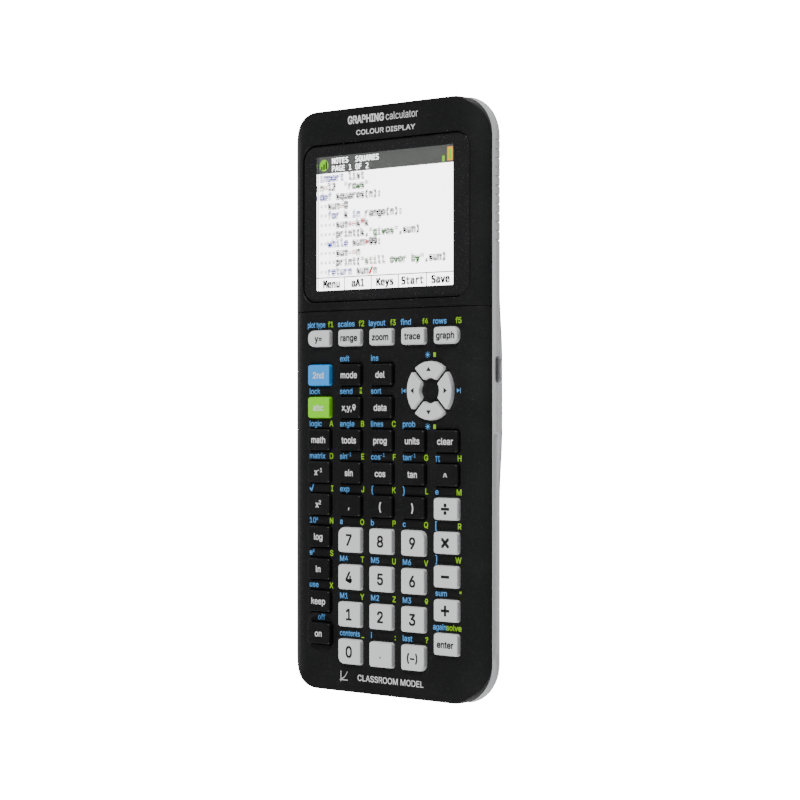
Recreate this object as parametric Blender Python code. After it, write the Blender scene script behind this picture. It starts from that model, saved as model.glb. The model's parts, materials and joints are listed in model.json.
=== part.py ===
"""A hand-held graphing calculator lying on its back.

+X is to the right of the keypad, +Y points from the keypad to the display and +Z comes out
of the face. The origin is on the surface that the feet rest on, under the body's centre.
"""

import collections
import functools
import math

import bmesh
import bpy

MM = 0.001

# Overall body.
BODY_LENGTH = 186.3 * MM
BODY_WIDTH = 84.0 * MM
FACE_HEIGHT = 15.2 * MM  # from the surface under the feet to the flat of the face
CORNER_RADIUS = 12.5 * MM  # of the body's outline
BACK_CORNER_RADIUS = 6.5 * MM  # of the flat back's outline
FOOT_HEIGHT = 0.6 * MM
FOOT_RADIUS = 4.0 * MM
FOOT_INSET_X = 16.0 * MM  # from the body's side to a foot's centre
FOOT_INSET_Y = 14.15 * MM

# Clearances.
REST_GAP = 0.3 * MM  # between pieces that rest on each other
KEY_CLEARANCE = 0.3 * MM  # round each key in its hole
CUT_OVERRUN = 2.0 * MM  # how far a cutter runs past the wall it cuts

# Front cover: a flat face whose long sides fall away in a quarter of an ellipse.
FRONT_DEPTH = 3.9 * MM  # from the face down to the parting line
FRONT_WALL = 2.3 * MM
ARCH_WIDTH = 11.0 * MM
ARCH_DROP = 6.6 * MM
ARCH_STEPS = 8
CORNER_STEPS = 6
SEAM_WIDTH = 0.5 * MM
SEAM_DEPTH = 0.4 * MM
SEAM_BELOW_WINDOW = 3.1 * MM

# Rear cover: flat back, rounded edge, straight flank and a rounded side.
CASE_WALL = 2.0 * MM
BACK_EDGE_RADIUS = 7.0 * MM
FLANK_ANGLE = math.radians(48.7)  # of the flank's normal, from straight down
SIDE_RADIUS = 3.0 * MM
WIDEST_BELOW_PARTING = 1.7 * MM
RIM_INSET = 0.5 * MM
WAIST_SWELL = 1.0 * MM  # how far the flanks stand out at the middle of the length
WAIST_TOP_Y = 12.0 * MM
WAIST_BOTTOM_Y = -9.0 * MM
WAIST_FADE = 22.0 * MM

# Grip ribs, near the display end of both sides.
RIB_COUNT = 12
RIB_PITCH = 2.77 * MM
RIB_WIDTH = 0.5 * MM
RIB_DEPTH = 0.35 * MM
FIRST_RIB_FROM_END = 14.0 * MM
RIB_START = 0.75  # where a rib starts, as a share of the turn of the back's edge

# Channels that a protective cover slides in, along the lower half of both sides.
CHANNEL_RADIUS = 1.4 * MM
CHANNEL_TOP_Y = -9.6 * MM
CHANNEL_OUTSET = 0.6 * MM  # of its axis, from the side
CHANNEL_STEPS = 8
CHANNEL_END = 14.0 * MM  # from the body's end to the channel

# Display.
WINDOW_SIDE = 7.15 * MM  # from the body's side to the window
WINDOW_END = 11.1 * MM  # from the body's end to the window
WINDOW_HEIGHT = 50.3 * MM
WINDOW_CORNER = 5.0 * MM
WINDOW_RECESS = 0.8 * MM
WINDOW_THICKNESS = 0.7 * MM
BORDER_SIDE = 6.05 * MM  # from the window's side to the picture
BORDER_END = 3.55 * MM
PICTURE_SHIFT = -0.45 * MM  # the picture sits a little to the left
PANEL_MARGIN = 2.6 * MM  # of the panel round its picture
PANEL_THICKNESS = 2.4 * MM
APERTURE_MARGIN = 0.8 * MM  # of the opening in the front cover round the picture

# Keypad.
KEYPAD_SIDE = 10.44 * MM  # from the body's side to the outer keys
KEY_GAP_X = 3.72 * MM
KEY_GAP_Y = 3.49 * MM
DIGIT_GAP_Y = 3.78 * MM
SOFT_KEY_HEIGHT = 5.4 * MM
SOFT_ROW_BELOW_WINDOW = 11.9 * MM  # to the centre of the row under the display
FIRST_ROW_BELOW_SOFT = 11.8 * MM
LAST_ROW_FROM_END = 18.06 * MM
ROW_COUNT = 9
DIGIT_FIRST_DROP = 0.6 * MM  # of the top digit row below its own row
DIGIT_LAST_DROP = 5.04 * MM
KEY_RISE = 1.2 * MM  # of the key tops above the face
KEY_TRAVEL = 0.7 * MM
KEY_CORNER = 1.0 * MM
KEY_ROUND_CORNER = 2.4 * MM
KEY_CORNER_STEPS = 2
KEY_CHAMFER = 0.35 * MM
KEY_FLANGE = 0.8 * MM  # how far it stands out round the key, under the face
KEY_FLANGE_DEPTH = 1.3 * MM
ARROW_SIDE_GAP = 2.3 * MM  # from the ring to the outer edge of the keypad
ARROW_ROW_GAP = 2.9 * MM  # from the ring to the row below
ARROW_HUB_RADIUS = 3.9 * MM
ARROW_SLOT = 1.3 * MM  # between two arrow keys
ARROW_FLANGE = 0.5 * MM
ARROW_STEPS = 6
POWER_DISH_MARGIN = 1.3 * MM  # round the key's corners
POWER_DISH_STEPS = 24
POWER_DISH_DEPTH = 0.4 * MM

# Inside.
DOME_GAP = 0.2 * MM  # left between a pressed key and its pad
PAD_RISE = 0.5 * MM
PAD_RADIUS = 1.9 * MM
PAD_STEPS = 6
MAT_THICKNESS = 0.7 * MM
MAT_SIDE = 8.0 * MM  # from the body's side to the mat
MAT_END = 6.2 * MM
BOARD_THICKNESS = 1.6 * MM
BOARD_SIDE = 5.5 * MM
BOARD_END = 12.0 * MM
BATTERY_LENGTH = 44.0 * MM
BATTERY_SIDE = 16.0 * MM  # from the body's side to the battery
BATTERY_FROM_END = 52.0 * MM  # from the keypad end to the battery's centre
BATTERY_CORNER = 2.0 * MM
BAY_CLEARANCE = 0.5 * MM
COVER_THICKNESS = 1.1 * MM
COVER_LIP = 2.0 * MM  # how far the cover reaches past the bay
COVER_TAB = 9.0 * MM  # at the end that the screw holds
SCREW_HEAD_RADIUS = 1.9 * MM
SCREW_HEAD_DEPTH = 0.4 * MM
SCREW_SHANK_RADIUS = 0.9 * MM
SCREW_BELOW_BOARD = 2.5 * MM  # from its tip
SCREW_CROSS_LENGTH = 1.2 * MM  # from its middle
SCREW_CROSS_WIDTH = 0.4 * MM
SCREW_CROSS_DEPTH = 0.25 * MM
COVER_POST_BELOW_BOARD = 1.1 * MM
SCREW_STEPS = 12
POST_RADIUS = 2.3 * MM
POST_CLEARANCE = 2.7 * MM  # from the posts to the flanges of the digit keys
POST_FOOT = 0.3 * MM  # how far below the inside of the back a post starts
POST_FROM_END = 8.6 * MM
POST_HOLE_RADIUS = 1.2 * MM
POST_RECESS_RADIUS = 1.9 * MM
POST_RECESS_DEPTH = 3.2 * MM  # from the surface under the feet

# Socket in the right-hand side.
SOCKET_WIDTH = 7.5 * MM
SOCKET_HEIGHT = 2.3 * MM
SOCKET_DEPTH = 8.8 * MM
SOCKET_WALL = 0.3 * MM
SOCKET_SETBACK = 4.0 * MM  # of its mouth from the body's side
SOCKET_TONGUE = 0.6 * MM
PORT_WIDTH = 8.4 * MM
PORT_HEIGHT = 2.8 * MM
PORT_BELOW_PARTING = 2.3 * MM  # to the port's centre
PORT_ABOVE_ROW = 1.25 * MM  # from the middle of the first row of keys

# Shading.
LEVEL_FACE = 0.999  # of the upward part of a face's normal
LEVEL_EDGE = 0.001 * MM
LEVEL_TURN = math.radians(30)  # a level edge that turns less is shaded smooth
UPRIGHT_TURN = math.radians(50)

# Places and heights worked out from the values above.
HALF_LENGTH = BODY_LENGTH / 2
HALF_WIDTH = BODY_WIDTH / 2
BACK_Z = FOOT_HEIGHT
FLOOR_Z = BACK_Z + CASE_WALL
PARTING_Z = FACE_HEIGHT - FRONT_DEPTH
REAR_TOP_Z = PARTING_Z - REST_GAP
WIDEST_Z = PARTING_Z - WIDEST_BELOW_PARTING
UNDERSIDE_Z = FACE_HEIGHT - FRONT_WALL
FLANK_RISE = (
    WIDEST_Z - BACK_Z - SIDE_RADIUS * math.cos(FLANK_ANGLE)
    - BACK_EDGE_RADIUS * (1 - math.cos(FLANK_ANGLE))
)
BACK_INSET = (  # of the flat back from the body's sides
    SIDE_RADIUS * (1 - math.sin(FLANK_ANGLE))
    + FLANK_RISE / math.tan(FLANK_ANGLE)
    + BACK_EDGE_RADIUS * math.sin(FLANK_ANGLE)
)
CORNER_SHRINK = (CORNER_RADIUS - BACK_CORNER_RADIUS) / BACK_INSET
ARCH_START = HALF_WIDTH - ARCH_WIDTH
ARCH_END = ARCH_START + ARCH_WIDTH * math.sqrt(1 - (1 - FRONT_DEPTH / ARCH_DROP) ** 2)
HOLLOW_HALF_X = ARCH_START + (ARCH_WIDTH - FRONT_WALL) * math.sqrt(
    1 - (1 - (FRONT_DEPTH - FRONT_WALL) / (ARCH_DROP - FRONT_WALL)) ** 2
)

WINDOW_TOP_Z = FACE_HEIGHT - WINDOW_RECESS
LEDGE_Z = WINDOW_TOP_Z - WINDOW_THICKNESS - REST_GAP
WINDOW_HALF_X = HALF_WIDTH - WINDOW_SIDE
WINDOW_HALF_Y = WINDOW_HEIGHT / 2
WINDOW_Y = HALF_LENGTH - WINDOW_END - WINDOW_HALF_Y
PICTURE_HALF_X = WINDOW_HALF_X - BORDER_SIDE
PICTURE_HALF_Y = WINDOW_HALF_Y - BORDER_END
SEAM_Y = WINDOW_Y - WINDOW_HALF_Y - SEAM_BELOW_WINDOW

KEY_WIDTH = (BODY_WIDTH - 2 * KEYPAD_SIDE - 4 * KEY_GAP_X) / 5
COLUMN_PITCH = KEY_WIDTH + KEY_GAP_X
SOFT_ROW_Y = WINDOW_Y - WINDOW_HALF_Y - SOFT_ROW_BELOW_WINDOW
FIRST_ROW_Y = SOFT_ROW_Y - FIRST_ROW_BELOW_SOFT
LAST_ROW_Y = LAST_ROW_FROM_END - HALF_LENGTH
ROW_PITCH = (FIRST_ROW_Y - LAST_ROW_Y) / (ROW_COUNT - 1)
KEY_HEIGHT = ROW_PITCH - KEY_GAP_Y
DIGIT_TOP_Y = FIRST_ROW_Y - 5 * ROW_PITCH - DIGIT_FIRST_DROP
DIGIT_PITCH = (DIGIT_TOP_Y - LAST_ROW_Y + DIGIT_LAST_DROP) / 3
DIGIT_HEIGHT = DIGIT_PITCH - DIGIT_GAP_Y

KEY_TOP_Z = FACE_HEIGHT + KEY_RISE
FLANGE_TOP_Z = UNDERSIDE_Z - REST_GAP
FLANGE_BOTTOM_Z = FLANGE_TOP_Z - KEY_FLANGE_DEPTH
POST_X = COLUMN_PITCH + KEY_WIDTH / 2 + KEY_FLANGE + POST_CLEARANCE + POST_RADIUS
PAD_TOP_Z = FLANGE_BOTTOM_Z - KEY_TRAVEL - DOME_GAP
MAT_TOP_Z = PAD_TOP_Z - PAD_RISE
MAT_BOTTOM_Z = MAT_TOP_Z - MAT_THICKNESS
BOARD_TOP_Z = MAT_BOTTOM_Z - REST_GAP
BOARD_BOTTOM_Z = BOARD_TOP_Z - BOARD_THICKNESS
COVER_POST_TOP_Z = BOARD_BOTTOM_Z - COVER_POST_BELOW_BOARD

ARROW_X = 1.5 * COLUMN_PITCH
ARROW_Y = FIRST_ROW_Y - ROW_PITCH / 2
ARROW_RADIUS = min(
    2 * COLUMN_PITCH + KEY_WIDTH / 2 - ARROW_X - ARROW_SIDE_GAP,
    ARROW_Y - (FIRST_ROW_Y - 2 * ROW_PITCH + KEY_HEIGHT / 2) - ARROW_ROW_GAP,
)

SOCKET_Y = FIRST_ROW_Y + PORT_ABOVE_ROW
PORT_Z = max(PARTING_Z - PORT_BELOW_PARTING, FLOOR_Z + PORT_HEIGHT / 2 + REST_GAP)
SOCKET_MOUTH_X = HALF_WIDTH - SOCKET_SETBACK
BATTERY_Y = BATTERY_FROM_END - HALF_LENGTH
BAY_HALF_X = HALF_WIDTH - BATTERY_SIDE + BAY_CLEARANCE
BAY_HALF_Y = BATTERY_LENGTH / 2 + BAY_CLEARANCE
COVER_TOP_Z = BACK_Z + COVER_THICKNESS
COVER_Y = BATTERY_Y - COVER_TAB / 2
COVER_HALF_X = BAY_HALF_X + COVER_LIP
COVER_HALF_Y = BAY_HALF_Y + COVER_LIP + COVER_TAB / 2
COVER_SCREW_Y = COVER_Y - COVER_HALF_Y + COVER_TAB / 2

# name: (column, row) of the dark keys of ordinary size; row 0 is the first below the soft keys.
DARK_KEYS = {
    "key_mode": (1, 0),
    "key_delete": (2, 0),
    "key_variable": (1, 1),
    "key_stat": (2, 1),
    "key_math": (0, 2),
    "key_apps": (1, 2),
    "key_program": (2, 2),
    "key_vars": (3, 2),
    "key_clear": (4, 2),
    "key_inverse": (0, 3),
    "key_sine": (1, 3),
    "key_cosine": (2, 3),
    "key_tangent": (3, 3),
    "key_power": (4, 3),
    "key_square": (0, 4),
    "key_comma": (1, 4),
    "key_open_bracket": (2, 4),
    "key_close_bracket": (3, 4),
    "key_log": (0, 5),
    "key_natural_log": (0, 6),
    "key_store": (0, 7),
    "key_on": (0, 8),
}
LIGHT_KEYS = {
    "key_divide": (4, 4),
    "key_multiply": (4, 5),
    "key_minus": (4, 6),
    "key_plus": (4, 7),
    "key_enter": (4, 8),
}
# Rows of the digit block, in columns 1 to 3.
DIGIT_KEYS = (
    ("key_7", "key_8", "key_9"),
    ("key_4", "key_5", "key_6"),
    ("key_1", "key_2", "key_3"),
    ("key_0", "key_point", "key_negative"),
)
SOFT_KEYS = ("key_y_equals", "key_window", "key_zoom", "key_trace", "key_graph")
ARROW_KEYS = ("key_right", "key_up", "key_left", "key_down")  # anticlockwise from +X
# Corners with the larger radius: right top, left top, left bottom, right bottom.
ROUND_CORNERS = {
    "key_y_equals": (0, 1, 1, 0),
    "key_graph": (1, 0, 0, 1),
    "key_7": (0, 1, 0, 0),
    "key_9": (1, 0, 0, 0),
    "key_0": (0, 0, 1, 0),
    "key_negative": (0, 0, 0, 1),
}

COLOURS = {
    "black_plastic": ((0.020, 0.020, 0.021), 0.42, 0.0),
    "grey_plastic": ((0.40, 0.41, 0.42), 0.45, 0.0),
    "dark_key": ((0.016, 0.016, 0.017), 0.38, 0.0),
    "light_key": ((0.60, 0.61, 0.62), 0.35, 0.0),
    "blue_key": ((0.19, 0.47, 0.83), 0.35, 0.0),
    "green_key": ((0.35, 0.73, 0.01), 0.35, 0.0),
    "window_black": ((0.022, 0.022, 0.023), 0.12, 0.0),
    "display_white": ((0.90, 0.90, 0.90), 0.30, 0.0),
    "board_green": ((0.02, 0.16, 0.06), 0.50, 0.0),
    "mat_rubber": ((0.35, 0.36, 0.36), 0.80, 0.0),
    "battery_wrap": ((0.06, 0.10, 0.22), 0.40, 0.0),
    "steel": ((0.60, 0.60, 0.60), 0.30, 1.0),
}


def material(name):
    found = bpy.data.materials.get(name)
    if found:
        return found
    colour, roughness, metallic = COLOURS[name]
    made = bpy.data.materials.new(name)
    made.use_nodes = True
    shader = made.node_tree.nodes["Principled BSDF"]
    shader.inputs["Base Color"].default_value = (*colour, 1.0)
    shader.inputs["Roughness"].default_value = roughness
    shader.inputs["Metallic"].default_value = metallic
    made.diffuse_color = (*colour, 1.0)
    return made


def rounded_outline(half_x, half_y, radii, steps):
    """Points anticlockwise round a rectangle at the origin, with its four corner radii."""
    points = []
    for quarter, radius in enumerate(radii):
        sign_x = 1 if quarter in (0, 3) else -1
        sign_y = 1 if quarter in (0, 1) else -1
        for step in range(steps + 1):
            angle = math.pi / 2 * (quarter + step / steps)
            points.append((
                sign_x * (half_x - radius) + radius * math.cos(angle),
                sign_y * (half_y - radius) + radius * math.sin(angle),
            ))
    return points


def circle_outline(radius, steps):
    angles = [2 * math.pi * step / steps for step in range(steps)]
    return [(radius * math.cos(a), radius * math.sin(a)) for a in angles]


def at_height(outline, z, centre=(0, 0)):
    return [(x + centre[0], y + centre[1], z) for x, y in outline]


def add_stack(bm, rings):
    """A closed body through rings of equal length, from its first cap to its last."""
    loops = [[bm.verts.new(point) for point in ring] for ring in rings]
    count = len(loops[0])
    for low, high in zip(loops, loops[1:]):
        for i in range(count):
            j = (i + 1) % count
            bm.faces.new((low[i], low[j], high[j], high[i]))
    bm.faces.new(loops[0][::-1])
    bm.faces.new(loops[-1])


def add_profile_bar(bm, section, y_low, y_high):
    """A closed bar along Y with a section given as (x, z) points, anticlockwise seen from -Y."""
    add_stack(bm, [[(x, y, z) for x, z in section] for y in (y_high, y_low)])


def shade_round(bm):
    """Shades smooth, apart from level faces and the edges where a piece turns sharply."""
    bm.normal_update()
    for face in bm.faces:
        face.smooth = abs(face.normal.z) < LEVEL_FACE
    for edge in bm.edges:
        level = abs(edge.verts[0].co.z - edge.verts[1].co.z) < LEVEL_EDGE
        edge.smooth = edge.calc_face_angle() < (LEVEL_TURN if level else UPRIGHT_TURN)


def solid(name, build, colour, rounded=True):
    """An object from a function that fills a bmesh."""
    bm = bmesh.new()
    build(bm)
    bmesh.ops.recalc_face_normals(bm, faces=bm.faces)
    if rounded:
        shade_round(bm)
    mesh = bpy.data.meshes.new(name)
    bm.to_mesh(mesh)
    bm.free()
    made = bpy.data.objects.new(name, mesh)
    bpy.context.scene.collection.objects.link(made)
    mesh.materials.append(material(colour))
    return made


def cutter(name, build):
    made = solid(name, build, "steel", rounded=False)
    made.hide_render = True
    made.display_type = "WIRE"
    return made


def combine(target, other, operation):
    modifier = target.modifiers.new(f"{operation.lower()}_{other.name}", "BOOLEAN")
    modifier.operation = operation
    modifier.solver = "EXACT"
    modifier.object = other


def cut(target, name, build):
    combine(target, cutter(name, build), "DIFFERENCE")


def column_x(column):
    return (column - 2) * COLUMN_PITCH


def row_y(row):
    return FIRST_ROW_Y - row * ROW_PITCH


def post_centres():
    """Places of the screw posts that join the two covers."""
    return [(x, y * (HALF_LENGTH - POST_FROM_END)) for x in (-POST_X, POST_X) for y in (-1, 1)]


def arch_z(x, drop=0.0):
    """Height of the front surface, or of the surface that lies drop under it."""
    past = max(0.0, abs(x) - ARCH_START)
    share = min(1.0, past / (ARCH_WIDTH - drop))
    return FACE_HEIGHT - drop - (ARCH_DROP - drop) * (1 - math.sqrt(1 - share * share))


def arch_line(drop, end):
    """(x, z) points of the front surface from end to -end, with the falling sides in steps."""
    angle = math.asin(min(1.0, (end - ARCH_START) / (ARCH_WIDTH - drop)))
    reach = [
        ARCH_START + (ARCH_WIDTH - drop) * math.sin(angle * step / ARCH_STEPS)
        for step in range(ARCH_STEPS, -1, -1)
    ]
    return [(x, arch_z(x, drop)) for x in reach + [-x for x in reach[::-1]]]


def swell(y):
    """1 along the waist of the body, fading to 0 towards both ends."""
    past = max(y - WAIST_TOP_Y, WAIST_BOTTOM_Y - y, 0.0)
    share = max(0.0, 1 - past / WAIST_FADE)
    return share * share * (3 - 2 * share)


def rear_section(inward, low_turns=(0, 1 / 3, 2 / 3, 1), high_turns=(0, 1 / 3, 2 / 3, 1)):
    """(inset from the side, height, share of the waist's swell) up the rear cover's section.

    The back's edge and the side are arcs, with the flank straight between them. The turns are
    shares of each arc, and inward moves the section into the wall.
    """
    low, high = BACK_EDGE_RADIUS - inward, SIDE_RADIUS - inward
    section = []
    for share in low_turns:
        a = FLANK_ANGLE * share
        z = BACK_Z + BACK_EDGE_RADIUS - low * math.cos(a)
        section.append((BACK_INSET - low * math.sin(a), z, math.sin(2 * a)))
    for share in high_turns:
        a = FLANK_ANGLE + (math.pi / 2 - FLANK_ANGLE) * share
        z = WIDEST_Z - high * math.cos(a)
        section.append((SIDE_RADIUS - high * math.sin(a), z, math.sin(2 * a)))
    return section


def case_ring(inset, z, swell_share):
    """The body's outline at one height, with points along the long sides for the waist."""
    radius = CORNER_RADIUS - inset * CORNER_SHRINK
    core_x, core_y = HALF_WIDTH - inset - radius, HALF_LENGTH - inset - radius
    stations = [
        WAIST_BOTTOM_Y - WAIST_FADE,
        WAIST_BOTTOM_Y - WAIST_FADE / 2,
        WAIST_BOTTOM_Y,
        WAIST_TOP_Y,
        WAIST_TOP_Y + WAIST_FADE / 2,
        WAIST_TOP_Y + WAIST_FADE,
    ]
    ring = []
    for quarter in range(4):
        sign_x = 1 if quarter in (0, 3) else -1
        sign_y = 1 if quarter in (0, 1) else -1
        for step in range(CORNER_STEPS + 1):
            angle = math.pi / 2 * (quarter + step / CORNER_STEPS)
            ring.append((
                sign_x * core_x + radius * math.cos(angle),
                sign_y * core_y + radius * math.sin(angle),
                z,
            ))
        if quarter in (1, 3):
            for y in stations if quarter == 3 else stations[::-1]:
                side = HALF_WIDTH - inset + WAIST_SWELL * swell_share * swell(y)
                ring.append((sign_x * side, y, z))
    return ring


Key = collections.namedtuple("Key", "outline centre flange colour")


def key_shapes():
    """name: (centre, half width, half height, colour) of every key with a rectangular cap."""
    half_x, half_y = KEY_WIDTH / 2, KEY_HEIGHT / 2
    shapes = {
        "key_second": ((column_x(0), row_y(0)), half_x, half_y, "blue_key"),
        "key_alpha": ((column_x(0), row_y(1)), half_x, half_y, "green_key"),
    }
    for keys, colour in ((DARK_KEYS, "dark_key"), (LIGHT_KEYS, "light_key")):
        for name, (column, row) in keys.items():
            shapes[name] = ((column_x(column), row_y(row)), half_x, half_y, colour)
    for row, names in enumerate(DIGIT_KEYS):
        for column, name in enumerate(names, start=1):
            centre = (column_x(column), DIGIT_TOP_Y - row * DIGIT_PITCH)
            shapes[name] = (centre, half_x, DIGIT_HEIGHT / 2, "light_key")
    for column, name in enumerate(SOFT_KEYS):
        centre = (column_x(column), SOFT_ROW_Y)
        shapes[name] = (centre, half_x, SOFT_KEY_HEIGHT / 2, "light_key")
    return shapes


def key_outline(name, half_x, half_y, grow):
    """A key's outline moved outwards by grow."""
    limit = min(half_x, half_y) * 0.9
    flags = ROUND_CORNERS.get(name, (0, 0, 0, 0))
    radii = [min(limit, KEY_ROUND_CORNER if flag else KEY_CORNER) + grow for flag in flags]
    return rounded_outline(half_x + grow, half_y + grow, radii, KEY_CORNER_STEPS)


def arrow_outline(direction, grow):
    """A quarter of the ring, less the slots beside it, moved outwards by grow, about its pad."""
    middle = (ARROW_RADIUS + ARROW_HUB_RADIUS) / 2
    side = ARROW_SLOT / 2 - grow  # of the quarter's straight edge from the diagonal
    outer, inner = ARROW_RADIUS + grow, ARROW_HUB_RADIUS - grow
    points = []
    for radius, ends in ((outer, (-1, 1)), (inner, (1, -1))):
        reach = math.pi / 4 - math.asin(side / radius)
        for step in range(ARROW_STEPS + 1):
            share = ends[0] + (ends[1] - ends[0]) * step / ARROW_STEPS
            angle = direction + reach * share
            points.append((
                radius * math.cos(angle) - middle * math.cos(direction),
                radius * math.sin(angle) - middle * math.sin(direction),
            ))
    return points


def all_keys():
    """name: Key. An outline takes the distance to move it outwards by, and is about the centre."""
    keys = {}
    for name, (centre, half_x, half_y, colour) in key_shapes().items():
        outline = functools.partial(key_outline, name, half_x, half_y)
        keys[name] = Key(outline, centre, KEY_FLANGE, colour)
    middle = (ARROW_RADIUS + ARROW_HUB_RADIUS) / 2
    for quarter, name in enumerate(ARROW_KEYS):
        turn = quarter * math.pi / 2
        centre = (ARROW_X + middle * math.cos(turn), ARROW_Y + middle * math.sin(turn))
        outline = functools.partial(arrow_outline, turn)
        keys[name] = Key(outline, centre, ARROW_FLANGE, "light_key")
    return keys


def make_keys(keys):
    """Each is a cap with a chamfer round its top and a flange that holds it under the face."""
    for name, key in keys.items():
        cap, wide, top = key.outline(0.0), key.outline(key.flange), key.outline(-KEY_CHAMFER)
        rings = [
            at_height(wide, FLANGE_BOTTOM_Z),
            at_height(wide, FLANGE_TOP_Z),
            at_height(cap, FLANGE_TOP_Z),
            at_height(cap, KEY_TOP_Z - KEY_CHAMFER),
            at_height(top, KEY_TOP_Z),
        ]
        made = solid(name, functools.partial(add_stack, rings=rings), key.colour)
        made.location = (*key.centre, 0.0)


def make_front_cover(keys):
    """An arched plate trimmed to the body's outline, with its inside, window and holes cut out."""
    outer = arch_line(0.0, ARCH_END)
    front = solid(
        "front_cover",
        lambda bm: add_profile_bar(bm, outer, -HALF_LENGTH, HALF_LENGTH),
        "black_plastic",
    )

    def trim(bm):
        outline = rounded_outline(ARCH_END, HALF_LENGTH, [CORNER_RADIUS] * 4, CORNER_STEPS)
        add_stack(bm, [
            at_height(outline, PARTING_Z - CUT_OVERRUN),
            at_height(outline, FACE_HEIGHT + CUT_OVERRUN),
        ])

    combine(front, cutter("outline_trim", trim), "INTERSECT")

    def hollow(bm):
        rings = []
        for x, z in arch_line(FRONT_WALL, HOLLOW_HALF_X)[:ARCH_STEPS + 1]:
            outline = rounded_outline(
                x, HALF_LENGTH - FRONT_WALL, [CORNER_RADIUS - FRONT_WALL] * 4, CORNER_STEPS
            )
            if not rings:
                rings.append(at_height(outline, PARTING_Z - CUT_OVERRUN))
            rings.append(at_height(outline, z))
        add_stack(bm, rings)

    cut(front, "front_hollow", hollow)

    def bosses(bm):
        outline = circle_outline(POST_RADIUS, SCREW_STEPS)
        for centre in post_centres():
            add_stack(bm, [
                at_height(outline, PARTING_Z + REST_GAP, centre),
                at_height(outline, UNDERSIDE_Z + FRONT_WALL / 2, centre),
            ])

    combine(front, cutter("screw_bosses", bosses), "UNION")

    def window_pocket(bm):
        grow = REST_GAP
        outline = rounded_outline(
            WINDOW_HALF_X + grow, WINDOW_HALF_Y + grow, [WINDOW_CORNER + grow] * 4, 3
        )
        add_stack(bm, [
            at_height(outline, LEDGE_Z, (0, WINDOW_Y)),
            at_height(outline, FACE_HEIGHT + CUT_OVERRUN, (0, WINDOW_Y)),
        ])

    cut(front, "window_pocket", window_pocket)

    def aperture(bm):
        outline = rounded_outline(
            PICTURE_HALF_X + APERTURE_MARGIN, PICTURE_HALF_Y + APERTURE_MARGIN, [REST_GAP] * 4, 1
        )
        add_stack(bm, [
            at_height(outline, UNDERSIDE_Z - CUT_OVERRUN, (PICTURE_SHIFT, WINDOW_Y)),
            at_height(outline, FACE_HEIGHT, (PICTURE_SHIFT, WINDOW_Y)),
        ])

    cut(front, "display_aperture", aperture)

    def seam(bm):
        end = ARCH_END + CUT_OVERRUN / 4
        low = arch_line(SEAM_DEPTH, end)
        over = FACE_HEIGHT + CUT_OVERRUN
        section = low + [(-end, over), (end, over)]
        add_profile_bar(bm, section, SEAM_Y - SEAM_WIDTH / 2, SEAM_Y + SEAM_WIDTH / 2)

    cut(front, "seam_groove", seam)

    def power_dish(bm):
        radius = math.hypot(KEY_WIDTH, KEY_HEIGHT) / 2 + POWER_DISH_MARGIN
        outline = circle_outline(radius, POWER_DISH_STEPS)
        add_stack(bm, [
            at_height(outline, FACE_HEIGHT - POWER_DISH_DEPTH, (column_x(0), row_y(8))),
            at_height(outline, FACE_HEIGHT + CUT_OVERRUN, (column_x(0), row_y(8))),
        ])

    cut(front, "power_key_dish", power_dish)

    def key_holes(bm):
        for key in keys.values():
            outline = key.outline(KEY_CLEARANCE)
            add_stack(bm, [
                at_height(outline, UNDERSIDE_Z - CUT_OVERRUN, key.centre),
                at_height(outline, FACE_HEIGHT + CUT_OVERRUN, key.centre),
            ])

    cut(front, "key_holes", key_holes)


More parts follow.
